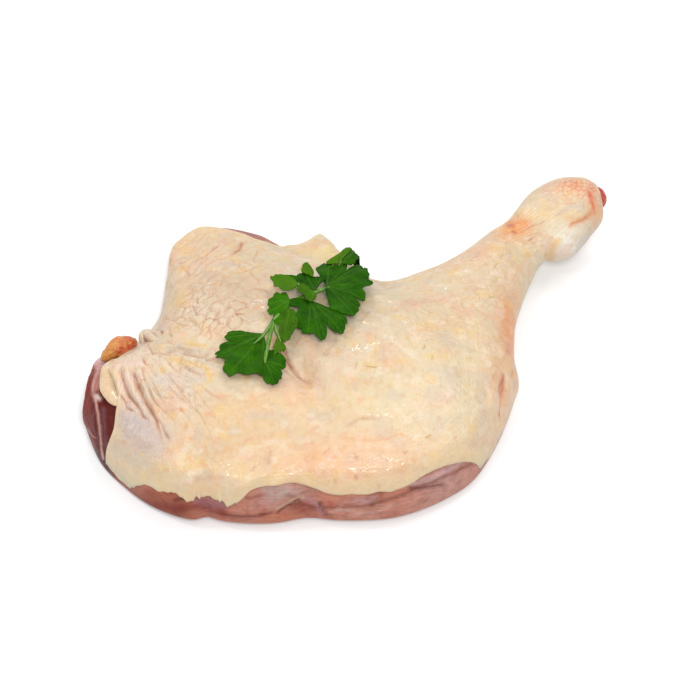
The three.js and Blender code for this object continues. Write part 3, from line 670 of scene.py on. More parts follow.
# Uneven patches all over the skin: size, seed, colour, strength.
MOTTLES = (
    (5.0, 63, (252, 208, 126), 0.42),
    (7.0, 67, (246, 182, 150), 0.38),
    (6.0, 57, (212, 196, 184), 0.38),
    (3.4, 68, (255, 242, 218), 0.34),
    (1.9, 58, (226, 172, 124), 0.3),
)
# Where specks and the hock's net show: x, y, half lengths along and across, turn, strength.
SPECKLED = (
    (-46, -56, 22, 12, 0, 1.0),
    (-52, 22, 18, 22, 0, 0.8),
    (20, -60, 30, 8, 10, 0.6),
)
HOCK_NET = (
    (86, 63.5, 9, 5, 15, 1.0),
    (92, 62, 6, 8, 0, 0.6),
)


def washed(colour, flat, washes):
    """Colours with soft oval washes over them."""
    for *oval, wash, strength in washes:
        share = patch_share(((*oval, strength),), flat)[..., None]
        colour = mix(colour, seen_as(*wash), share)
    return colour


def painted(colour, flat, marks):
    """Colours with the drawn marks over them."""
    for line, half_width, tone, strength in marks:
        distance = line_distance(flat, line, 3 * half_width)[0]
        share = strength * np.exp(-((distance / half_width) ** 2))
        colour = mix(colour, seen_as(*tone), share[..., None])
    return colour


def skin_tint(points, rim, crease):
    """The skin's colour at each point: washes over cream, marks, small blotches, painted shade in the
    creases, the rim.
    """
    plan = points[..., :2]
    loose = plan + 2.2 * shifts(plan, 8.0, 61, 62)
    colour = np.broadcast_to(seen_as(*CREAM), points.shape).copy()
    colour = washed(colour, loose, WASHES)
    calm = 1 - 0.7 * patch_share(CRINKLED, plan)
    for size, seed, tone, strength in MOTTLES:
        share = (calm * smooth(rough_noise(points, size, seed), 0.05, 0.5))[..., None]
        colour = mix(colour, seen_as(*tone), strength * share)
    near = plan + 0.5 * shifts(plan, 2.0, 69, 70)
    colour = painted(colour, near, SKIN_MARKS)
    net = patch_share(HOCK_NET, plan)
    net = net * (1 - smooth(cells(near / 2.1, 60), 0.03, 0.2))
    colour = mix(colour, seen_as(228, 104, 76), 0.75 * net[..., None])
    spread_out = patch_share(SPECKLED, plan) * smooth(noise(plan, 11.0, 65), -0.3, 0.5)
    speck = (1 - smooth(cells(near / 3.6, 64, middles=True), 0.1, 0.26)) * spread_out
    colour = mix(colour, seen_as(242, 184, 112), 0.5 * speck[..., None])
    fat = (1 - smooth(rim, 1.0, 3.0)) * (0.7 + 0.3 * noise(points, 3.0, 66))
    colour = mix(colour, seen_as(252, 222, 172), np.clip(fat, 0, 1)[..., None] * 0.7)
    # Creases and wrinkle lines are darkened towards orange-brown: painted shade.
    return mix(colour, seen_as(*CREASE_SHADE), np.clip(crease, 0, 1.1)[..., None] * 0.9)


def new_mesh(name, points, faces):
    """A mesh object from layout points and faces."""
    mesh = bpy.data.meshes.new(name)
    mesh.from_pydata(place(points), [], faces)
    mesh.validate()
    mesh.update()
    mesh.polygons.foreach_set("use_smooth", [True] * len(mesh.polygons))
    piece = bpy.data.objects.new(name, mesh)
    bpy.context.scene.collection.objects.link(piece)
    return piece


def paint(piece, name, values):
    """Stores a number or a colour for each of a mesh's points, for its material to read."""
    values = np.asarray(values, float)
    kind = "FLOAT" if values.ndim == 1 else "FLOAT_COLOR"
    attribute = piece.data.attributes.new(name, kind, "POINT")
    if values.ndim == 1:
        attribute.data.foreach_set("value", values.astype(np.float32))
        return
    rgba = np.concatenate([values, np.ones((len(values), 1))], 1)
    attribute.data.foreach_set("color", rgba.astype(np.float32).ravel())


def grid_shell(upper, lower):
    """One closed shell round two grids of points that share their side rims: points, faces, and the
    place in the list of the upper grid's points and of the lower grid's, which is coarser."""
    rows, columns = upper.shape[:2]
    up = np.arange(rows * columns).reshape(rows, columns)
    coarse = lower[::STRIDE, ::STRIDE]
    low = up[::STRIDE, ::STRIDE].copy()
    inner = coarse[:, 1:-1]
    low[:, 1:-1] = rows * columns + np.arange(inner.shape[0] * inner.shape[1]).reshape(inner.shape[:2])
    points = np.concatenate([upper.reshape(-1, 3), inner.reshape(-1, 3)])
    for side in (0, -1):
        points[up[:, side], 2] = (upper[:, side, 2] + lower[:, side, 2]) / 2
    corners = (up[:-1, :-1], up[1:, :-1], up[1:, 1:], up[:-1, 1:])
    faces = np.stack([corner.ravel() for corner in corners], 1).tolist()
    up = up.tolist()
    low = low.tolist()
    last = len(low[0]) - 2
    for a in range(len(low) - 1):
        row = a * STRIDE
        for b in range(last + 1):
            face = [low[a][b], low[a][b + 1]]
            if b == last:
                face += [up[row + k][-1] for k in range(1, STRIDE)]
            face += [low[a + 1][b + 1], low[a + 1][b]]
            if b == 0:
                face += [up[row + k][0] for k in range(STRIDE - 1, 0, -1)]
            faces.append(face)
    for b in range(last + 1):
        span = range(b * STRIDE, (b + 1) * STRIDE + 1)
        first = [up[0][j] for j in span] + [low[0][b + 1], low[0][b]]
        end = [low[-1][b], low[-1][b + 1]] + [up[-1][j] for j in reversed(span)]
        faces.append(list(dict.fromkeys(first)))
        faces.append(list(dict.fromkeys(end)))
    return points, faces, np.array(up), np.array(low)


def spread(u):
    """Shares from 0 to 1, moved closer together towards both ends."""
    return 0.2 * u + 0.8 * (0.5 - 0.5 * np.cos(math.pi * u))


def grid_normals(grid):
    """Unit normals of a grid of points, away from the grid's lower side."""
    lengthwise = np.gradient(grid, axis=0)
    crosswise = np.gradient(grid, axis=1)
    normal = np.cross(lengthwise, crosswise)
    return normal / (np.linalg.norm(normal, axis=-1, keepdims=True) + 1e-9)


def ridden(piece, slot, *nodes):
    """The piece moves with the part's one body and stands for CAD nodes; slot is not used."""
    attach(piece, "root")
    if nodes:
        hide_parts(*nodes)


def dressed(name, points, faces, tint, material, slot, *nodes):
    """A piece from layout points, painted with a tint that its material reads."""
    piece = new_mesh(name, points, faces)
    paint(piece, "tint", tint)
    piece.data.materials.append(material)
    ridden(piece, slot, *nodes)
    return piece


class Material:
    """A material with a Principled shader, and short ways to add the nodes that feed it."""

    def __init__(self, name, **sockets):
        self.material = bpy.data.materials.new(name)
        self.material.use_nodes = True
        self.tree = self.material.node_tree
        self.shader = self.tree.nodes["Principled BSDF"]
        for socket, value in sockets.items():
            self.shader.inputs[socket.replace("_", " ")].default_value = value

    def node(self, kind, inputs=(), **settings):
        node = self.tree.nodes.new(kind)
        for name, value in settings.items():
            setattr(node, name, value)
        for name, value in dict(inputs).items():
            if isinstance(value, bpy.types.NodeSocket):
                self.tree.links.new(value, node.inputs[name])
            else:
                node.inputs[name].default_value = value
        return node

    def feed(self, socket, value):
        self.tree.links.new(value, self.shader.inputs[socket])

    def attribute(self, name):
        node = self.node("ShaderNodeAttribute", attribute_name=name)
        return node.outputs["Color"], node.outputs["Fac"]

    def place(self, scale=(1, 1, 1)):
        """Object coordinates in millimetres, scaled."""
        coordinates = self.node("ShaderNodeTexCoord").outputs["Object"]
        mapping = self.node("ShaderNodeMapping", {"Vector": coordinates})
        mapping.inputs["Scale"].default_value = Vector(scale) / MM
        return mapping.outputs["Vector"]

    def noise(self, size, detail=3.0, roughness=0.55, distortion=0.0, where=None):
        inputs = {
            "Vector": where or self.place(),
            "Scale": 1 / size,
            "Detail": detail,
            "Roughness": roughness,
            "Distortion": distortion,
        }
        return self.node("ShaderNodeTexNoise", inputs).outputs["Fac"]

    def cells(self, size):
        inputs = {"Vector": self.place(), "Scale": 1 / size}
        return self.node("ShaderNodeTexVoronoi", inputs).outputs["Distance"]

    def remap(self, value, low, high, new_low=0.0, new_high=1.0):
        inputs = {
            "Value": value,
            "From Min": low,
            "From Max": high,
            "To Min": new_low,
            "To Max": new_high,
        }
        return self.node("ShaderNodeMapRange", inputs).outputs["Result"]

    def math(self, operation, a, b=0.0):
        node = self.node("ShaderNodeMath", operation=operation)
        for socket, value in zip(node.inputs, (a, b)):
            if isinstance(value, bpy.types.NodeSocket):
                self.tree.links.new(value, socket)
            else:
                socket.default_value = value
        return node.outputs["Value"]

    def blend(self, factor, a, b, kind="MIX"):
        """One colour over another. A colour is a socket or a linear one of three numbers."""
        node = self.node("ShaderNodeMix", data_type="RGBA", blend_type=kind)
        for index, value in ((0, factor), (6, a), (7, b)):
            if isinstance(value, bpy.types.NodeSocket):
                self.tree.links.new(value, node.inputs[index])
            elif index == 0:
                node.inputs[index].default_value = value
            else:
                node.inputs[index].default_value = (*value, 1)
        return node.outputs[2]

    def bump(self, height, distance, strength=1.0, over=None):
        """Relief of the given depth in millimetres, over another bump if one is given."""
        inputs = {"Height": height, "Distance": distance * MM, "Strength": strength}
        if over is not None:
            inputs["Normal"] = over
        return self.node("ShaderNodeBump", inputs).outputs["Normal"]


def skin_material():
    made = Material(
        "moist_skin",
        Subsurface_Weight=0.3,
        Subsurface_Radius=(1.0, 0.55, 0.35),
        Subsurface_Scale=0.0018,
        IOR=1.4,
        Specular_IOR_Level=0.35,
        Coat_Weight=0.15,
        Coat_Roughness=0.08,
    )
    tint = made.attribute("tint")[0]
    wet = made.attribute("wet")[1]
    mottle = made.remap(made.noise(2.2, 4.0), 0.35, 0.65)
    light = made.blend(made.math("MULTIPLY", mottle, 0.2), tint, seen_as(252, 232, 204))
    veins = made.remap(made.noise(1.1, 5.0, 0.6, 0.8), 0.54, 0.7)
    colour = made.blend(made.math("MULTIPLY", veins, 0.25), light, seen_as(226, 178, 136))
    made.feed("Base Color", colour)
    patches = made.remap(made.noise(4.5, 4.0), 0.3, 0.7, 0.46, 0.3)
    drier = made.math("MULTIPLY", wet, 0.24)
    made.feed("Roughness", made.math("SUBTRACT", patches, drier))
    pores = made.bump(made.cells(0.9), 0.16, 0.5)
    lines = made.bump(made.noise(0.8, 6.0, 0.62, 0.6), 0.3, 0.6, pores)
    made.feed("Normal", made.bump(made.noise(2.0, 3.0), 0.5, 0.4, lines))
    return made.material


ROW_CROWDING = 0.25  # Rows of the skin's grid stand this much closer at the hip.
RELIEF_RIM = 2.5  # The relief fades out this near the skin's rim.
RELIEF_TIP = 6.0  # It fades out this near the cut end.
NO_RIM = 9.0  # A distance from the rim for points that have no rim near them.


def make_skin():
    share = np.linspace(0, 1, SKIN_STEPS + 1)
    share = (share + ROW_CROWDING * share * (1 - share))[:, None]
    across = spread(np.linspace(0, 1, SKIN_SPANS + 1))[None, :]
    share, across = np.broadcast_arrays(share, across)
    upper, lower, rim, is_open = skin_grid(share, across)
    normal = grid_normals(upper)
    folds, fold_shade = fold_relief(upper[..., :2])
    wrinkles, wrinkle_shade = wrinkle_relief(upper)
    inside = smooth(rim, 0.0, RELIEF_RIM)
    tip = smooth(share * LEG_LENGTH, 0.0, RELIEF_TIP)
    lift = folds * mix(0.6, 1.0, is_open) + wrinkles
    upper = upper + normal * (lift * inside * tip)[..., None]
    points, faces, upper_index, lower_index = grid_shell(upper, lower)
    crease = np.zeros(len(points))
    # How much painted shade each point of the creases and wrinkle lines gets.
    crease[upper_index.ravel()] = np.maximum(fold_shade, wrinkle_shade).ravel()
    rims = np.full(len(points), NO_RIM)
    rims[lower_index.ravel()] = mix(NO_RIM, 1.0, is_open[::STRIDE, ::STRIDE] > 0.5).ravel()
    rims[upper_index.ravel()] = mix(NO_RIM, rim, is_open).ravel()
    material = skin_material()
    skin = dressed("duck_skin", points, faces, skin_tint(points, rims, crease), material, "skin", "skin")
    paint(skin, "wet", patch_share(CRINKLED, points))
    make_curl(material)
    return upper


# The rolled edge of skin at the left of the flap: points and radii.
CURL_PATH = (
    (-78.0, -2.2, 15.5), (-78.4, 0.2, 16.6), (-77.0, 1.4, 17.6), (-75.6, -1.4, 19.2), (-73.6, -5.0, 21.5),
    (-70.6, -9.2, 24.6),
)
CURL_RADII = (1.2, 1.6, 1.7, 1.8, 1.7, 0.6)


def roughened(points, height, size, seed):
    """Points moved unevenly away from their middle."""
    out = points - points.mean(0)
    out /= np.linalg.norm(out, axis=1, keepdims=True)
    return points + out * (height * rough_noise(points, size, seed))[:, None]


def make_curl(material):
    points, faces = tube(CURL_PATH, CURL_RADII, 28)
    points = roughened(points, 0.3, 2.4, 115)
    lilac = smooth(points[:, 2] + 0.6 * points[:, 1], 19.5, 15.0)[:, None]
    tint = skin_tint(points, np.full(len(points), NO_RIM), np.zeros(len(points)))
    tint = mix(tint, seen_as(212, 172, 164), 0.7 * lilac)
    curl = dressed("skin_curl", points, faces, tint, material, "skin")
    paint(curl, "wet", np.full(len(points), 0.6))


# The meat is marked in the flat place (x, 0.788 y + 0.616 z), because its visible sides are steep.
FLAT_Y = 0.788
FLAT_Z = 0.616
# The meat's colour, and washes and streaks over it, in the same order of values as the skin's.
MEAT_BASE = (200, 128, 102)
MEAT_WASHES = (
    (-92, -22, 9, 30, 0, (86, 22, 18), 1.4),
    (-96, -8, 6, 14, 0, (122, 42, 32), 0.8),
    (-72, -50, 16, 7, 0, (158, 92, 72), 0.9),
    (-80, -56, 14, 3, 0, (188, 122, 92), 0.6),
    # Painted shade on the meat just under the skin's rim.
    (-62, -53, 4, 3, 0, (132, 62, 52), 0.8),
    (-50, -50, 8, 4, 0, (182, 124, 112), 0.8),
    (-24, -46, 10, 5, 0, (206, 174, 164), 0.9),
    (-17, -51, 8, 3, -10, (146, 70, 60), 0.9),
    (3, -51, 14, 5, 0, (196, 142, 124), 0.8),
    (24, -54, 18, 3, 15, (186, 104, 84), 0.7),
    (34, -43, 15, 7, 30, (204, 160, 150), 0.9),
    (30, -51, 16, 3, 25, (198, 146, 130), 0.6),
    (-42, 52, 14, 5, -10, (172, 122, 116), 1.0),
)
MEAT_MARKS = (
    (((-97.9, -3.8), (-98.2, -11.2), (-97.1, -20.4), (-95.3, -29.7)), 2.2, (142, 64, 54), 0.7),
    (((-87.3, -16.5), (-87.1, -21.9), (-88.4, -29.2)), 2.2, (108, 44, 38), 0.9),
    (((-90.8, -16.5), (-90.6, -23.8), (-90.2, -29.3)), 1.3, (128, 84, 90), 0.8),
    (((-93.9, -12.2), (-93.3, -15.9), (-92.3, -20.2), (-91.8, -25.0), (-91.6, -29.8), (-91.0, -34.3)),
     0.5, (224, 180, 168), 0.85),
    (((-100.1, -18.7), (-99.2, -22.1), (-96.8, -24.5), (-94.1, -26.9)), 0.35, (206, 150, 138), 0.7),
    (((-95.5, 0.6), (-94.5, -2.7), (-95.2, -6.4), (-95.3, -10.1), (-93.9, -13.0)),
     0.8, (224, 178, 164), 0.8),
    (((-93.9, -0.5), (-92.9, -4.8), (-93.8, -8.6)), 1.4, (206, 146, 134), 0.8),
    # A painted highlight: a small white glint on the membrane at the hip end.
    (((-93.6, -11.5), (-92.3, -12.6)), 0.8, (240, 222, 214), 0.8),
    (((-95.3, 1.4), (-92.9, 0.9), (-90.9, 2.1)), 2.2, (218, 180, 176), 0.9),
    # The next four marks are painted shade on the meat just under the skin's rim.
    (((-63.3, -48.8), (-57.8, -47.6)), 1.0, (110, 48, 40), 0.7),
    (((-86, -45), (-76, -50.5), (-66, -52), (-56, -51), (-46, -53)), 1.8, (134, 58, 48), 0.75),
    (((-37, -48), (-30, -46.5), (-22, -47), (-15, -51), (-6, -51.5), (8, -50.5)), 0.8, (126, 62, 54), 0.6),
    (((8, -50.5), (18, -47), (26, -43.5), (34, -40.5), (44, -36)), 0.8, (116, 60, 54), 0.6),
    # Painted shade in the seam between two muscles.
    (((-49.0, -53.3), (-41.7, -54.7), (-34.4, -54.7), (-28.2, -53.2)), 0.6, (134, 70, 62), 0.7),
    (((-55.3, -48.7), (-50.7, -49.9), (-45.2, -50.5)), 1.7, (164, 114, 124), 0.7),
    (((-29.5, -44.1), (-27.0, -46.7), (-23.8, -44.9)), 2.2, (190, 165, 156), 0.8),
    (((-34.3, -50.5), (-31.7, -48.6), (-28.9, -50.9)), 1.8, (186, 140, 134), 0.6),
    (((-26.0, -51.7), (-22.4, -49.8), (-19.5, -48.3), (-17.0, -47.9)), 0.8, (216, 182, 152), 0.8),
    (((-15.2, -48.3), (-11.6, -50.7), (-10.2, -54.1)), 1.0, (186, 142, 146), 0.8),
    (((-7.4, -49.6), (-7.0, -50.2)), 0.9, (188, 62, 50), 0.7),
    (((-7.3, -53.3), (-1.8, -52.5), (3.6, -53.6), (9.1, -53.3), (14.5, -51.1)),
     0.6, (208, 168, 158), 0.75),
    (((-3.6, -55.6), (1.8, -54.8), (7.3, -55.6), (12.7, -54.5)), 0.6, (208, 168, 158), 0.7),
    (((1.8, -48.7), (6.5, -48.7), (9.0, -47.6)), 1.0, (192, 152, 156), 0.7),
    (((21.6, -42.8), (27.1, -41.5), (32.6, -39.4), (38.1, -36.2), (43.6, -32.6)),
     1.0, (198, 168, 166), 0.8),
    (((27.4, -52.2), (32.9, -49.3), (38.4, -45.7), (42.1, -42.1)), 0.7, (206, 152, 136), 0.6),
    (((18.2, -54.6), (29.2, -51.8), (40.3, -45.8), (45.9, -38.5)), 1.2, (202, 148, 132), 0.6),
)
# Grooves between muscles, and thin folds of membrane, which have a negative depth: points, half width,
# depth, and how much painted shade darkens the groove.
MEAT_GROOVES = (
    (((-92.6, -14.0), (-91.6, -20.2), (-91.0, -25.0), (-90.6, -34.3)), 0.8, 0.8, 0.5),
    (((-93.6, -12.2), (-92.6, -20.2), (-92.1, -29.8)), 0.6, -0.5, 0.0),
    (((-17.0, -47.9), (-21.0, -50.2), (-24.6, -52.1), (-27.5, -54.3)), 0.6, 1.0, 0.9),
    (((-11.2, -48.8), (-10.5, -51.8), (-8.4, -54.1), (-5.5, -55.2)), 0.6, 0.9, 0.8),
    (((-49.0, -53.3), (-41.7, -54.7), (-34.4, -54.7), (-28.2, -53.2)), 0.7, 0.7, 0.5),
    (((19.8, -43.9), (25.3, -44.5), (29.7, -43.9), (35.7, -42.9)), 0.6, 0.8, 0.9),
    (((-7.3, -53.3), (-1.8, -52.5), (3.6, -53.6), (9.1, -53.3), (14.5, -51.1)), 0.6, -0.5, 0.0),
    (((-3.6, -55.6), (1.8, -54.8), (7.3, -55.6), (12.7, -54.5)), 0.6, -0.4, 0.0),
    (((21.6, -42.8), (32.6, -39.4), (43.6, -32.6)), 1.0, -0.5, 0.0),
)
FILMED_MEAT = (
    (-24, -46, 9, 5, 0, 0.9),
    (4, -52, 14, 4, 0, 0.8),
    (36, -42, 14, 6, 30, 0.6),
    (-42, 52, 14, 6, 0, 0.6),
)

# Where the meat lies deeper, so that it stays under the skin: x, y, half lengths along and across,
# turn, depth.
SUNK_MEAT = ((8, 21, 14, 14, 0, 1.6),)


def meat_relief(points, flat):
    """Height of muscles and fibres, and how much painted shade darkens each point in a groove."""
    height = 0.7 * rough_noise(points, 12.0, 71) + 0.15 * rough_noise(points, 3.0, 74)
    groove = np.zeros(flat.shape[:-1])
    for line, half_width, depth, shade in MEAT_GROOVES:
        distance, share = line_distance(flat, line)
        ends = faded(share, 0.15, 0.85)
        height -= depth * ends * np.exp(-distance / half_width)
        groove = np.maximum(groove, shade * ends * np.exp(-distance / half_width))
    fibres = noise(points / np.array([7.0, 2.0, 0.7]), 1.0, 77)
    return height + 0.1 * fibres, groove


def meat_material():
    made = Material(
        "raw_meat",
        Subsurface_Weight=0.2,
        Subsurface_Radius=(1.0, 0.25, 0.15),
        Subsurface_Scale=0.002,
        IOR=1.35,
        Specular_IOR_Level=0.08,
        Coat_Weight=0.06,
        Coat_Roughness=0.1,
    )
    tint = made.attribute("tint")[0]
    film = made.attribute("film")[1]
    fibres = made.noise(1.0, 5.0, 0.65, 0.3, made.place((0.22, 0.5, 1.5)))
    light = made.remap(fibres, 0.42, 0.75, 0.0, 0.8)
    colour = made.blend(light, tint, made.blend(1.0, tint, (1.6, 1.45, 1.4), "MULTIPLY"))
    dark = made.remap(made.noise(3.5, 4.0, 0.6), 0.48, 0.72, 0.0, 0.6)
    colour = made.blend(dark, colour, made.blend(1.0, colour, (0.7, 0.48, 0.46), "MULTIPLY"))
    web = made.remap(made.noise(2.4, 6.0, 0.7, 1.5, made.place((0.4, 0.7, 1.0))), 0.5, 0.68)
    web = made.math("MULTIPLY", web, film)
    colour = made.blend(made.math("MULTIPLY", web, 0.6), colour, seen_as(212, 182, 172))
    made.feed("Base Color", colour)
    made.feed("Roughness", made.remap(made.noise(3.0, 4.0), 0.3, 0.7, 0.42, 0.26))
    grain = made.bump(fibres, 0.5, 0.45)
    made.feed("Normal", made.bump(made.noise(1.4, 4.0), 0.4, 0.3, grain))
    return made.material


def meat_tint(points, flat, groove):
    colour = np.broadcast_to(seen_as(*MEAT_BASE), points.shape).copy()
    lighter = smooth(noise(points, 13.0, 81), -0.1, 0.8)[:, None]
    darker = smooth(noise(points, 9.0, 82), 0.1, 0.8)[:, None]
    colour = mix(colour, seen_as(198, 146, 130), 0.5 * lighter)
    colour = mix(colour, seen_as(150, 84, 72), 0.5 * darker)
    colour = washed(colour, flat, MEAT_WASHES)
    near = flat + 0.35 * shifts(flat, 2.5, 83, 84)
    colour = painted(colour, near, MEAT_MARKS)
    # Grooves are darkened: painted shade.
    return mix(colour, seen_as(104, 42, 36), np.clip(groove, 0, 1)[:, None])


def make_meat():
    share = np.linspace(MEAT_START, 1, MEAT_STEPS + 1)[:, None]
    across = spread(np.linspace(0, 1, MEAT_SPANS + 1))[None, :]
    share, across = np.broadcast_arrays(share, across)
    s = section_at(share)
    x, y, top, bottom = body_point(s, across)
    upper = np.stack([x, y, top], -1)
    lower = np.stack([x, y, bottom], -1)
    flat = np.stack([x, FLAT_Y * y + FLAT_Z * top], -1)
    relief, groove = meat_relief(upper, flat)
    rim = np.minimum(across, 1 - across) * s["width"]
    hidden = smooth((share - MEAT_START) * LEG_LENGTH, 2, 16)
    lift = relief * smooth(rim, 0, 1.5) * hidden
    lift = (lift - swell_at(SUNK_MEAT, x, y))[..., None]
    upper = upper + grid_normals(upper) * lift
    points, faces, upper_index = grid_shell(upper, lower)[:3]
    grooves = np.zeros(len(points))
    grooves[upper_index.ravel()] = groove.ravel()
    flat = np.stack([points[:, 0], FLAT_Y * points[:, 1] + FLAT_Z * points[:, 2]], -1)
    tint = meat_tint(points, flat, grooves)
    meat = dressed("thigh_muscle", points, faces, tint, meat_material(), "meat", "thigh_meat")
    paint(meat, "film", patch_share(FILMED_MEAT, flat))
    return upper


class Ground:
    """Height of a grid of points seen from above, looked up at any place in plan."""

    CELL = 0.75

    def __init__(self, grid):
        points = grid.reshape(-1, 3)
        self.low = points[:, :2].min(0)
        index = np.floor((points[:, :2] - self.low) / self.CELL).astype(int)
        self.height = np.zeros(index.max(0) + 2)
        np.maximum.at(self.height, (index[:, 0], index[:, 1]), points[:, 2])

    def at(self, plan):
        plan = np.asarray(plan, float)
        index = np.floor((plan - self.low) / self.CELL).astype(int)
        index = np.clip(index, 0, np.array(self.height.shape) - 1)
        return self.height[index[..., 0], index[..., 1]]


def tube(path, radii, sides, flatness=1.0):
    """A closed tube along a smooth path with a radius at each of its points."""
    steps = 8 * len(path)
    curve = along(path, np.linspace(0, 1, steps))
    radius = along(radii, np.linspace(0, 1, steps))
    forward = np.gradient(curve, axis=0)
    forward /= np.linalg.norm(forward, axis=1, keepdims=True)
    side = np.cross(forward, (0, 0, 1))
    side /= np.linalg.norm(side, axis=1, keepdims=True) + 1e-9
    up = np.cross(side, forward)
    angle = np.linspace(0, 2 * math.pi, sides, endpoint=False)
    ring = np.cos(angle)[None, :, None] * side[:, None]
    ring = ring + flatness * np.sin(angle)[None, :, None] * up[:, None]
    points = (curve[:, None] + ring * radius[:, None, None]).reshape(-1, 3)
    points = np.concatenate([points, curve[:1], curve[-1:]])
    faces = []
    for k in range(steps - 1):
        for j in range(sides):
            a = k * sides + j
            b = k * sides + (j + 1) % sides
            faces.append((a, b, b + sides, a + sides))
    first = steps * sides
    for j in range(sides):
        faces.append((first, (j + 1) % sides, j))
        faces.append((first + 1, first - sides + j, first - sides + (j + 1) % sides))
    return points, faces


def unit_ball(rings):
    """A unit ball's points and faces, as a grid round its vertical axis."""
    points = []
    for i in range(1, rings):
        tilt = math.pi * i / rings
        for j in range(2 * rings):
            around = math.pi * j / rings
            points.append((
                math.sin(tilt) * math.cos(around), math.sin(tilt) * math.sin(around), math.cos(tilt)))
    points += [(0, 0, 1), (0, 0, -1)]
    unit = np.array(points)
    faces = []
    width = 2 * rings
    for i in range(rings - 2):
        for j in range(width):
            a = i * width + j
            b = i * width + (j + 1) % width
            faces.append((a, a + width, b + width, b))
    top = (rings - 1) * width
    last = (rings - 2) * width
    for j in range(width):
        faces.append((top, j, (j + 1) % width))
        faces.append((top + 1, last + (j + 1) % width, last + j))
    return unit, faces


def placed_lump(unit, centre, radii, turn, wave):
    """A unit ball's points as an uneven ellipsoid, turned about the vertical."""
    angle = math.radians(turn)
    lengthwise = unit[:, 0] * radii[0] * wave
    across = unit[:, 1] * radii[1] * wave
    return np.stack([
        centre[0] + lengthwise * math.cos(angle) - across * math.sin(angle),
        centre[1] + lengthwise * math.sin(angle) + across * math.cos(angle),
        centre[2] + unit[:, 2] * radii[2] * wave,
    ], 1)


FAT_CENTRE = (-86.6, -5.2, 16.8)
FAT_RADII = (6.0, 4.0, 4.6)
FAT_TURN = 25
FAT_POINTS = (((-0.93, -0.3, -0.25), 0.42, 6), ((0.98, 0.15, 0.05), 0.22, 8))
MEMBRANE_CENTRE = (-91.0, -7.4, 11.0)
MEMBRANE_RADII = (6.0, 2.4, 3.8)
MEMBRANE_TURN = 18
JOINT_CENTRE = (96.2, 66.2, 21.2)
JOINT_RADII = (5.4, 4.4, 4.4)
JOINT_TURN = -71


def wet_material(name, colours, size, roughness, depth):
    """A wet soft material that turns unevenly from one colour into two others."""
    made = Material(
        name,
        Subsurface_Weight=0.3,
        Subsurface_Radius=(1.0, 0.5, 0.3),
        Subsurface_Scale=0.002,
        IOR=1.4,
        Specular_IOR_Level=0.3,
        Coat_Weight=0.25,
        Coat_Roughness=0.08,
    )
    tint = made.attribute("tint")[0]
    first = made.remap(made.noise(size, 4.0, 0.6, 0.5), 0.4, 0.62)
    colour = made.blend(made.math("MULTIPLY", first, 0.5), tint, colours[0])
    second = made.remap(made.noise(size * 0.4, 4.0, 0.6), 0.55, 0.7)
    colour = made.blend(made.math("MULTIPLY", second, 0.5), colour, colours[1])
    made.feed("Base Color", colour)
    patches = made.noise(size, 3.0)
    made.feed("Roughness", made.remap(patches, 0.3, 0.7, roughness + 0.08, roughness - 0.08))
    coarse = made.bump(made.noise(size * 0.5, 4.0), depth, 0.6)
    made.feed("Normal", made.bump(made.cells(size * 0.35), depth * 0.5, 0.5, coarse))
    return made.material


def make_fat():
    unit, faces = unit_ball(64)
    wave = 1 + 0.16 * rough_noise(unit, 0.7, 91, 4) + 0.05 * noise(unit, 0.16, 95)
    for direction, reach, sharpness in FAT_POINTS:
        toward = np.array(direction) / np.linalg.norm(direction)
        wave = wave + reach * np.clip(unit @ toward, 0, 1) ** sharpness
    points = placed_lump(unit, FAT_CENTRE, FAT_RADII, FAT_TURN, wave)
    red = smooth(points[:, 0] - 0.35 * points[:, 1] + 0.7 * noise(points, 2.0, 96), -86.0, -82.5)
    tint = mix(seen_as(226, 146, 74), seen_as(204, 84, 52), red[:, None])
    colours = (seen_as(236, 170, 92), seen_as(248, 204, 148))
    material = wet_material("orange_fat", colours, 2.4, 0.28, 0.7)
    dressed("hip_fat_lump", points, faces, tint, material, "fat", "hip_fat")


def make_membrane():
    """A small flattened lump of lilac membrane between the fat and the meat."""
    unit, faces = unit_ball(40)
    wave = 1 + 0.1 * rough_noise(unit, 0.7, 97, 3)
    points = placed_lump(unit, MEMBRANE_CENTRE, MEMBRANE_RADII, MEMBRANE_TURN, wave)
    red = smooth(rough_noise(points, 3.0, 98), -0.1, 0.5)[:, None]
    tint = mix(seen_as(236, 204, 196), seen_as(208, 152, 142), red)
    colours = (seen_as(226, 190, 184), seen_as(240, 216, 208))
    material = wet_material("lilac_membrane", colours, 2.4, 0.3, 0.4)
    dressed("hip_membrane", points, faces, tint, material, "meat")


def make_joint():
    unit, faces = unit_ball(64)
    wave = 1 + 0.12 * rough_noise(unit, 0.8, 101, 4)
    points = placed_lump(unit, JOINT_CENTRE, JOINT_RADII, JOINT_TURN, wave)
    pale = smooth(points[:, 0] + 0.35 * points[:, 1], 122.0, 123.6)[:, None]
    tint = mix(seen_as(206, 70, 44), seen_as(240, 140, 106), pale)
    colours = (seen_as(208, 104, 90), seen_as(236, 176, 160))
    material = wet_material("joint_red", colours, 2.2, 0.3, 0.5)
    dressed("cut_joint", points, faces, tint, material, "joint", "hock_joint")


TENDON_PATH = (
    (-85.6, -12.0), (-87.6, -15.8), (-88.9, -20.5), (-89.4, -25.5), (-89.0, -29.5), (-87.4, -33.0),
    (-85.3, -36.5), (-82.0, -39.0),
)
TENDON_RADII = (1.3, 2.4, 3.0, 3.2, 3.2, 3.0, 2.4, 1.2)
TENDON_FLATNESS = 0.45


def make_tendon(ground):
    path = np.array([(x, y, ground.at((x, y)) + 0.4) for x, y in TENDON_PATH])
    points, faces = tube(path, TENDON_RADII, 28, TENDON_FLATNESS)
    points = roughened(points, 0.25, 2.6, 111)
    tint = np.broadcast_to(seen_as(242, 214, 176), points.shape)
    colours = (seen_as(228, 190, 148), seen_as(252, 238, 212))
    material = wet_material("cream_tendon", colours, 3.0, 0.3, 0.3)
    dressed("hip_tendon_band", points, faces, tint, material, "tendon", "hip_tendon")


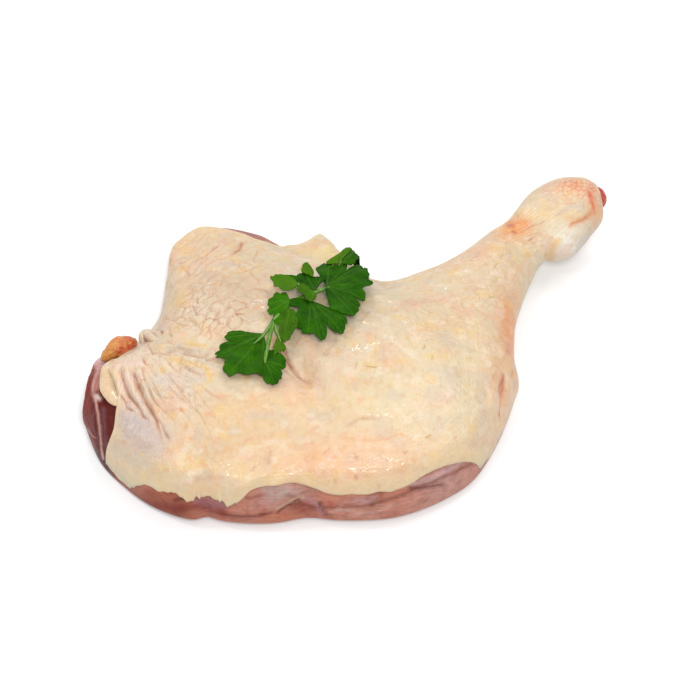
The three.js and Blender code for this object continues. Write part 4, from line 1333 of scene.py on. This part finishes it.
# Leaflets of the parsley: the base that the veins run from, the height over the skin, the height of
# the waves, how pale and how bright the leaf is, and its outline in plan.
LEAFLETS = {
    "leaf_left": ((-31.7, -13.4), 2.6, 0.5, 0.05, 0.5, (
        (-32.9, -14.5), (-34.9, -14.6), (-36.8, -13.5), (-38.5, -12.5), (-40.5, -12.0), (-43.0, -11.8),
        (-44.7, -12.1), (-45.5, -12.6), (-45.3, -13.4), (-46.2, -14.0), (-46.4, -14.7), (-45.5, -15.7),
        (-44.5, -16.1), (-43.3, -16.6), (-44.8, -16.7), (-46.5, -16.9), (-47.7, -17.8), (-48.3, -19.0),
        (-48.1, -20.0), (-48.9, -20.6), (-49.5, -21.6), (-49.4, -22.4), (-48.7, -22.9), (-48.8, -23.6),
        (-48.2, -24.4), (-47.2, -24.9), (-45.7, -24.7), (-45.6, -25.9), (-46.2, -26.9), (-46.0, -27.7),
        (-46.3, -29.0), (-45.9, -30.7), (-45.4, -32.0), (-44.5, -32.9), (-43.6, -33.1), (-42.5, -32.5),
        (-41.4, -31.9), (-39.6, -31.7), (-37.4, -32.0), (-35.4, -31.9), (-33.5, -32.1), (-32.2, -32.7),
        (-31.7, -30.3), (-31.4, -27.9), (-30.8, -25.4), (-30.2, -22.8), (-30.6, -19.7), (-31.3, -16.8))),
    "leaf_low": ((-30.9, -26.1), 2.9, 0.4, 0.0, 0.55, (
        (-28.3, -20.3), (-26.4, -21.3), (-25.1, -21.8), (-24.1, -23.0), (-23.5, -25.0), (-23.4, -27.0),
        (-23.7, -29.3), (-24.7, -30.2), (-25.7, -30.2), (-24.9, -31.5), (-24.7, -33.2), (-24.9, -34.6),
        (-25.6, -35.2), (-26.1, -36.3), (-27.4, -37.1), (-28.3, -36.9), (-29.1, -36.3), (-30.0, -36.4),
        (-31.1, -35.3), (-31.7, -33.8), (-32.2, -31.3), (-32.1, -28.5), (-31.7, -24.5), (-30.2, -21.2))),
    "leaf_small": ((-25.5, -15.0), 4.0, 0.3, 0.6, 0.5, (
        (-27.2, -15.3), (-27.7, -17.4), (-28.2, -19.1), (-27.9, -21.3), (-27.9, -23.4), (-28.1, -25.3),
        (-27.2, -23.0), (-25.8, -21.2), (-24.5, -19.9), (-23.6, -18.2), (-23.8, -17.2), (-25.2, -16.6),
        (-24.8, -15.7))),
    "leaf_back": ((-22.5, -2.7), 4.2, 0.5, 0.4, 0.2, (
        (-23.8, -2.6), (-25.0, -3.9), (-25.5, -5.9), (-25.9, -8.0), (-26.2, -10.5), (-26.2, -12.5),
        (-25.7, -14.9), (-24.3, -15.7), (-22.6, -15.2), (-21.5, -13.3), (-20.4, -11.9), (-19.3, -10.9),
        (-19.1, -9.0), (-19.6, -6.5), (-20.5, -3.9), (-21.5, -2.9))),
    "leaf_middle": ((-22.2, 1.4), 4.6, 0.5, 0.0, 1.0, (
        (-24.0, 6.4), (-25.3, 6.2), (-26.2, 5.0), (-27.1, 6.2), (-28.2, 5.1), (-28.6, 3.1),
        (-29.9, 2.0), (-30.6, 0.6), (-30.6, -0.8), (-30.1, -1.9), (-30.6, -3.2), (-30.3, -4.3),
        (-29.6, -4.9), (-28.4, -5.1), (-28.5, -6.6), (-28.7, -7.6), (-28.1, -8.8), (-27.1, -9.5),
        (-26.5, -9.8), (-25.8, -7.7), (-25.4, -5.9), (-24.1, -3.3), (-22.8, -1.5))),
    "leaf_lower_right": ((-14.7, 1.9), 4.6, 0.6, 0.0, 0.4, (
        (-12.4, 0.6), (-10.8, -1.6), (-9.1, -2.5), (-7.5, -3.1), (-5.2, -4.4), (-2.6, -5.4),
        (-1.6, -7.4), (-0.8, -9.3), (-1.0, -10.5), (-1.9, -10.6), (-1.6, -11.9), (-1.6, -13.2),
        (-2.4, -14.1), (-2.9, -15.0), (-4.2, -15.1), (-5.5, -14.4), (-6.8, -13.2), (-7.9, -11.9),
        (-8.7, -10.3), (-8.7, -11.8), (-8.5, -14.0), (-8.6, -16.1), (-9.0, -17.5), (-10.0, -17.4),
        (-10.8, -17.9), (-11.6, -17.4), (-12.3, -16.4), (-13.2, -14.8), (-13.9, -15.6), (-15.3, -15.9),
        (-16.6, -14.9), (-17.8, -13.8), (-18.1, -12.8), (-19.3, -11.8), (-19.5, -10.5), (-19.3, -9.3),
        (-20.1, -7.7), (-20.1, -6.2), (-19.4, -4.2), (-18.9, -2.5), (-20.5, -1.8), (-21.9, -1.1),
        (-22.9, 0.2), (-22.9, 1.6), (-20.9, 2.7), (-19.0, 2.8), (-17.0, 2.3))),
    "leaf_right": ((-8.6, 10.8), 5.2, 0.6, 0.0, 0.45, (
        (-9.6, 13.8), (-11.6, 18.3), (-12.8, 21.1), (-13.0, 23.0), (-11.9, 24.6), (-10.1, 26.9),
        (-8.0, 27.0), (-6.0, 26.2), (-4.4, 26.0), (-2.7, 26.8), (-1.1, 27.4), (-1.0, 25.5),
        (-1.3, 22.2), (0.0, 24.7), (2.4, 26.7), (3.8, 27.0), (4.8, 24.6), (4.4, 21.9), (5.7, 24.3),
        (6.8, 24.2), (6.6, 20.9), (7.3, 18.5), (7.3, 15.4), (7.6, 12.7), (8.3, 10.9), (8.2, 9.3),
        (7.1, 8.5), (5.3, 8.1), (4.3, 7.5), (5.6, 5.6), (6.0, 3.4), (5.6, 1.6), (4.4, 1.3), (2.6, 2.3),
        (1.1, 3.1), (2.8, 0.9), (3.7, -1.3), (3.2, -2.8), (3.5, -4.8), (2.3, -5.5), (1.3, -7.1),
        (0.0, -7.4), (-1.3, -6.7), (-2.6, -6.0), (-4.5, -4.7), (-6.2, -4.1), (-7.5, -3.0),
        (-7.8, -0.9), (-8.5, 3.0), (-9.2, 6.8))),
    "leaf_upper_left": ((-19.1, 10.0), 6.4, 0.4, 0.55, 0.7, (
        (-20.5, 12.4), (-22.5, 14.1), (-24.5, 15.0), (-26.2, 15.5), (-27.8, 15.3), (-29.1, 14.5),
        (-30.1, 14.7), (-29.5, 12.8), (-28.6, 10.9), (-28.7, 9.4), (-27.3, 9.0), (-25.9, 9.6),
        (-26.5, 8.2), (-25.6, 6.4), (-24.3, 5.5), (-22.7, 5.7), (-20.7, 7.6))),
    "leaf_upper": ((-13.2, 7.6), 5.6, 0.3, 0.0, 0.2, (
        (-14.5, 8.6), (-16.5, 11.3), (-18.5, 12.3), (-20.5, 13.7), (-22.5, 15.4), (-24.6, 15.8),
        (-22.6, 16.4), (-20.6, 15.9), (-18.9, 17.3), (-17.3, 18.9), (-15.3, 17.4), (-13.3, 16.0),
        (-10.6, 16.3), (-9.2, 15.5), (-9.7, 13.9), (-11.6, 11.4), (-12.5, 9.6))),
    "leaf_fold": ((-13.6, 4.1), 6.6, 0.3, 0.35, 0.4, (
        (-14.8, 7.1), (-16.5, 9.7), (-18.2, 10.2), (-19.4, 9.1), (-19.9, 6.9), (-19.4, 4.7),
        (-17.4, 3.0), (-16.1, 0.8), (-14.7, -0.7), (-13.4, 0.4), (-12.5, 2.8))),
    "leaf_curl": ((-13.9, 14.9), 7.0, 0.3, 0.6, 0.8, (
        (-16.0, 16.4), (-17.5, 17.0), (-18.4, 18.4), (-18.2, 21.4), (-17.8, 25.1), (-16.5, 27.2),
        (-15.4, 24.8), (-14.4, 21.1), (-13.6, 17.5))),
    "leaf_top_back": ((-4.7, 25.7), 6.8, 0.3, 0.7, 0.9, (
        (-6.7, 25.7), (-9.1, 26.6), (-7.9, 29.2), (-6.1, 31.9), (-4.1, 35.2), (-2.0, 39.2),
        (-1.2, 40.4), (1.0, 40.0), (-0.7, 38.0), (-2.0, 35.9), (-1.8, 34.0), (-2.7, 30.8),
        (-3.7, 28.1))),
    "leaf_top": ((-3.7, 26.8), 6.4, 0.3, 0.1, 0.5, (
        (-1.3, 26.4), (0.7, 25.9), (2.0, 27.7), (2.1, 29.4), (3.0, 30.9), (3.6, 32.0), (3.1, 34.3),
        (1.6, 36.1), (3.4, 35.6), (4.1, 36.6), (4.7, 38.2), (3.7, 40.6), (3.9, 41.7), (3.0, 41.9),
        (2.0, 41.5), (0.7, 40.0), (-0.7, 38.2), (-2.0, 36.2), (-1.9, 34.3), (-2.7, 31.2))),
}
# Stems: points as (x, y, height over the skin), and the radius at each point.
STEMS = {
    "stem_left": (((-24.5, -2.5, 3.0), (-27.9, -7.0, 3.6), (-28.6, -8.5, 3.7), (-30.1, -11.3, 3.6),
                   (-31.8, -14.4, 3.4), (-33.6, -16.6, 3.2), (-35.5, -18.7, 3.0)),
                  (0.9, 0.8, 0.75, 0.7, 0.65, 0.5, 0.2)),
    "stem_low": (((-27.0, -6.0, 3.3), (-28.8, -11.2, 3.6), (-29.6, -15.3, 3.6), (-30.3, -20.0, 3.6),
                  (-30.9, -25.0, 3.4), (-31.0, -27.4, 3.1)), (0.75, 0.75, 0.75, 0.75, 0.7, 0.25)),
    "stem_small": (((-27.4, -7.0, 3.4), (-27.4, -11.1, 4.0), (-26.5, -13.8, 4.2), (-25.5, -16.0, 4.3)),
                   (0.6, 0.6, 0.5, 0.25)),
    "stem_middle": (((-26.0, -4.5, 3.1), (-21.5, 1.5, 3.2), (-16.5, 6.0, 3.6), (-11.0, 8.5, 4.0),
                     (-7.0, 10.0, 4.4)), (0.9, 0.9, 0.9, 0.8, 0.3)),
    "stem_top": (((-14.5, 7.2, 3.6), (-12.0, 13.0, 4.2), (-9.8, 20.0, 4.8), (-6.5, 25.5, 5.6),
                  (-3.5, 28.0, 5.8)), (0.8, 0.7, 0.65, 0.6, 0.25)),
}
OUTLINE_STEPS = 320
LEAF_RINGS = 26
LEAF_THICKNESS = 0.34
LEAF_DROP = 3.0  # A leaf's tip hangs no further than this below the skin at its base.
SIGHT_SLOPE = 0.781  # A raised tip moves this much towards the camera for each millimetre.
VEIN_TURN = math.radians(28)
VEIN_SPACING = 2.6
VEIN_WIDTHS = (0.42, 0.14)  # of a main vein at its base and at its tip
SIDE_VEIN_WIDTH = 0.13
TEETH = 13
TOOTH_HEIGHT = 0.018
RING_CROWDING = 0.85
LEAF_CLEARANCE = 0.5
QUILTING = 0.13


def lobe_tips(base, outline):
    """The outline's points that stick out furthest from the base, one for each lobe."""
    reach = np.linalg.norm(outline - base, axis=1)
    count = len(outline)
    tips = []
    for k in range(count):
        if reach[k] >= max(reach[k - 1], reach[(k + 1) % count]) and reach[k] > 0.45 * reach.max():
            tips.append(outline[k])
    return tips


def vein_pattern(base, tips, plan):
    """How near points are to a main or a side vein, from 0 to 1."""
    nearest = np.zeros(len(plan))
    closest = np.full(len(plan), 99.0)
    side_vein = np.zeros(len(plan))
    for tip in tips:
        axis = tip - base
        length = np.linalg.norm(axis)
        axis = axis / length
        offset = plan - base
        forward = offset @ axis
        sideways = offset @ np.array([-axis[1], axis[0]])
        gap = np.hypot(sideways, np.minimum(forward, 0) + np.maximum(forward - length, 0))
        width = mix(*VEIN_WIDTHS, np.clip(forward / length, 0, 1))
        nearest = np.maximum(nearest, np.exp(-((gap / width) ** 2)))
        phase = (forward - np.abs(sideways) / math.tan(VEIN_TURN)) / VEIN_SPACING
        wave = np.abs((phase % 1) - 0.5) * VEIN_SPACING * math.sin(VEIN_TURN)
        branch = np.exp(-((wave / SIDE_VEIN_WIDTH) ** 2)) * smooth(forward, 0.12 * length, 0.3 * length)
        owned = gap < closest
        side_vein[owned] = branch[owned]
        closest = np.minimum(closest, gap)
    return nearest, side_vein


def make_leaflet(name, spec, ground, material, seed):
    base, rise, waves, pale, tone, outline = spec
    base = np.array(base)
    outline = np.array(outline)
    loop = np.concatenate([outline, outline[:1]])
    curve = along(loop, np.linspace(0, 1, OUTLINE_STEPS, endpoint=False))
    around = np.arange(OUTLINE_STEPS) * 2 * math.pi * TEETH / OUTLINE_STEPS
    teeth = 1 + TOOTH_HEIGHT * np.sin(around + seed)
    curve = base + (curve - base) * teeth[:, None]
    rings = (np.arange(1, LEAF_RINGS + 1) / LEAF_RINGS) ** RING_CROWDING
    plan = base + rings[:, None, None] * (curve - base)[None]
    plan = np.concatenate([base[None], plan.reshape(-1, 2)])
    reach = np.linalg.norm(plan - base, axis=1)
    share = reach / reach.max()
    tips = lobe_tips(base, outline)
    main, side_vein = vein_pattern(base, tips, plan)
    smooth_ground = ground.at(plan)
    bases = float(ground.at(base))
    flow = mix(bases, smooth_ground, 0.85)
    lobes = np.cos(3 * np.arctan2(plan[:, 1] - base[1], plan[:, 0] - base[0]) + seed)
    swell = waves * (0.8 * share * lobes + 0.9 * noise(plan, 5.0, 120 + seed))
    quilted = QUILTING * (1 - np.maximum(main, 0.6 * side_vein))
    height = flow + rise + swell + quilted
    height = np.maximum(height, smooth_ground + LEAF_CLEARANCE)
    raised = np.maximum(bases - LEAF_DROP - height, 0)
    height = height + raised
    plan = plan - raised[:, None] * np.array([0, SIGHT_SLOPE])
    top = np.concatenate([plan, height[:, None]], 1)
    under = top - (0, 0, LEAF_THICKNESS)
    points = np.concatenate([top, under])
    half = len(top)
    faces = []
    for j in range(OUTLINE_STEPS):
        after = (j + 1) % OUTLINE_STEPS
        faces.append((0, 1 + j, 1 + after))
        faces.append((half, half + 1 + after, half + 1 + j))
        for k in range(LEAF_RINGS - 1):
            a = 1 + k * OUTLINE_STEPS + j
            b = 1 + k * OUTLINE_STEPS + after
            faces.append((a, a + OUTLINE_STEPS, b + OUTLINE_STEPS, b))
            side = (a, b, b + OUTLINE_STEPS, a + OUTLINE_STEPS)
            faces.append(tuple(half + corner for corner in side))
        a = 1 + (LEAF_RINGS - 1) * OUTLINE_STEPS + j
        b = 1 + (LEAF_RINGS - 1) * OUTLINE_STEPS + after
        faces.append((a, half + a, half + b, b))
    leaf = new_mesh(name, points, faces)
    paint(leaf, "vein", np.concatenate([np.maximum(main, 0.55 * side_vein)] * 2))
    paint(leaf, "pale", np.full(len(points), pale))
    paint(leaf, "tone", np.full(len(points), tone))
    leaf.data.materials.append(material)
    return leaf


def leaf_material():
    made = Material(
        "parsley_leaf",
        Subsurface_Weight=0.08,
        Subsurface_Radius=(0.4, 1.0, 0.2),
        Subsurface_Scale=0.0005,
        IOR=1.25,
        Specular_IOR_Level=0.1,
        Coat_Weight=0.02,
        Coat_Roughness=0.2,
    )
    vein = made.attribute("vein")[1]
    pale = made.attribute("pale")[1]
    tone = made.attribute("tone")[1]
    patchy = made.remap(made.noise(5.0, 3.0), 0.35, 0.68, 0.0, 0.5)
    bright = made.math("ADD", patchy, made.math("MULTIPLY", tone, 0.5))
    colour = made.blend(bright, seen_as(10, 60, 0), seen_as(58, 122, 0))
    colour = made.blend(made.math("MULTIPLY", pale, 0.75), colour, seen_as(108, 154, 30))
    colour = made.blend(made.math("MULTIPLY", vein, 0.25), colour, seen_as(110, 160, 52))
    fine = made.remap(made.noise(0.7, 4.0), 0.4, 0.7, 0.0, 0.3)
    colour = made.blend(fine, colour, seen_as(24, 72, 2))
    made.feed("Base Color", colour)
    made.feed("Roughness", made.remap(made.noise(2.0, 3.0), 0.3, 0.7, 0.5, 0.36))
    made.feed("Normal", made.bump(made.noise(0.5, 4.0), 0.12, 0.5))
    return made.material


def stem_material():
    made = Material(
        "parsley_stem",
        Subsurface_Weight=0.15,
        Subsurface_Radius=(0.5, 1.0, 0.3),
        Subsurface_Scale=0.0006,
    )
    streak = made.remap(made.noise(0.8, 3.0, 0.5, 0.0, made.place((1, 0.3, 1))), 0.35, 0.65)
    made.feed("Base Color", made.blend(streak, seen_as(72, 128, 18), seen_as(120, 164, 44)))
    made.feed("Roughness", made.remap(made.noise(1.5), 0.3, 0.7, 0.45, 0.32))
    made.feed("Normal", made.bump(made.noise(0.4, 3.0), 0.1, 0.4))
    return made.material


def make_parsley(ground):
    green = leaf_material()
    stalk = stem_material()
    for seed, (name, spec) in enumerate(LEAFLETS.items()):
        leaf = make_leaflet("parsley_" + name, spec, ground, green, seed)
        nodes = ("parsley",) if seed == 0 else ()  # The first leaflet stands for the whole sprig.
        ridden(leaf, "leaf", *nodes)
    for name, (path, radii) in STEMS.items():
        line = np.array([(x, y, ground.at((x, y)) + height) for x, y, height in path])
        points, faces = tube(line, radii, 12)
        stem = new_mesh("parsley_" + name, points, faces)
        stem.data.materials.append(stalk)
        ridden(stem, "leaf")


# Stubs of quills that lie in the skin: x, y, direction, length.
QUILLS = (
    (55.4, 24.6, 60, 3.0), (55.2, 17.4, 75, 3.0), (53.4, 9.1, 40, 2.6), (2.2, -28.0, 80, 3.2),
    (7.7, -28.6, -12, 4.0), (30.0, -25.7, 85, 2.4), (28.1, -55.9, 35, 2.6), (27.1, -20.7, 70, 2.4),
    (58.0, 30.0, 60, 2.0), (-8.0, -72.0, 20, 2.0),
)
QUILL_RADII = (0.12, 0.26, 0.16)
QUILL_LIFT = 0.12


def make_quills(ground):
    points = []
    faces = []
    for x, y, direction, length in QUILLS:
        angle = math.radians(direction)
        step = np.array([math.cos(angle), math.sin(angle)]) * length / 2
        middle = np.array([x, y])
        line = np.array([
            (*spot, ground.at(spot) + QUILL_LIFT) for spot in (middle - step, middle, middle + step)])
        stub, sides = tube(line, QUILL_RADII, 8)
        faces += [tuple(k + len(points) for k in side) for side in sides]
        points += stub.tolist()
    quills = new_mesh("quill_stubs", points, faces)
    made = Material("quill", Coat_Weight=0.4, Coat_Roughness=0.15)
    made.feed("Base Color", made.blend(made.noise(0.8), seen_as(250, 222, 150), seen_as(238, 190, 104)))
    made.feed("Roughness", made.remap(made.noise(1.0), 0.3, 0.7, 0.4, 0.25))
    quills.data.materials.append(made.material)
    ridden(quills, "skin")


FLOOR_REACH = 3.0
ROOM_LIGHT = 0.62
# Soft boxes: name, place in millimetres over the leg's middle, side, power.
LIGHTS = (
    ("key", (60, -520, 820), 180, 5.2),
    ("fill", (340, 200, 800), 420, 2.6),
    ("back_glint", (-240, 760, 580), 120, 1.3),
    ("top_glint", (-190, -260, 920), 80, 0.9),
    ("left_glint", (-620, 0, 780), 110, 1.8),
)


def make_floor():
    mesh = bpy.data.meshes.new("floor")
    corners = [(x * FLOOR_REACH, y * FLOOR_REACH, 0) for x, y in ((-1, -1), (1, -1), (1, 1), (-1, 1))]
    mesh.from_pydata(corners, [], [(0, 1, 2, 3)])
    floor = bpy.data.objects.new("floor", mesh)
    bpy.context.scene.collection.objects.link(floor)
    made = Material(
        "white_floor",
        Roughness=0.7,
        Specular_IOR_Level=0.1,
        Emission_Color=(1, 1, 1, 1),
        Emission_Strength=FLOOR_GLOW,
    )
    made.feed("Base Color", made.blend(made.noise(60), seen_as(246, 246, 246), seen_as(250, 250, 250)))
    mesh.materials.append(made.material)


def area_light(name, location, side, power):
    """A soft box that is turned towards the leg's middle."""
    light = bpy.data.lights.new(name, "AREA")
    light.shape = "RECTANGLE"
    light.size = side * MM
    light.size_y = side * MM
    light.energy = power
    lamp = bpy.data.objects.new(name, light)
    lamp.location = Vector(location) * MM
    lamp.rotation_euler = (-lamp.location).to_track_quat("-Z", "Y").to_euler()
    bpy.context.scene.collection.objects.link(lamp)


def make_lights():
    world = bpy.data.worlds.new("white_room")
    world.use_nodes = True
    background = world.node_tree.nodes["Background"]
    background.inputs["Color"].default_value = (1, 1, 1, 1)
    background.inputs["Strength"].default_value = ROOM_LIGHT
    bpy.context.scene.world = world
    for light in LIGHTS:
        area_light(*light)


def make_camera():
    camera = bpy.data.objects.new("camera", bpy.data.cameras.new("camera"))
    bpy.context.scene.collection.objects.link(camera)
    bpy.context.scene.camera = camera
    camera.data.lens = CAMERA_LENS
    camera.data.sensor_width = CAMERA_SENSOR
    camera.data.clip_start = 0.01
    camera.data.clip_end = 20
    tilt = math.radians(CAMERA_ELEVATION)
    back = Vector((0, -math.cos(tilt), math.sin(tilt)))
    target = Vector(place(TARGET))
    camera.location = target + back * CAMERA_DISTANCE * MM
    camera.rotation_euler = (-back).to_track_quat("-Z", "Y").to_euler()


def main():
    make_camera()
    make_lights()
    make_floor()
    skin_top = make_skin()
    meat_top = make_meat()
    ground = Ground(skin_top)
    make_fat()
    make_membrane()
    make_joint()
    make_tendon(Ground(meat_top))
    make_parsley(ground)
    make_quills(ground)
    view = bpy.context.scene.view_settings
    view.view_transform = "Standard"
    view.look = "None"


main()
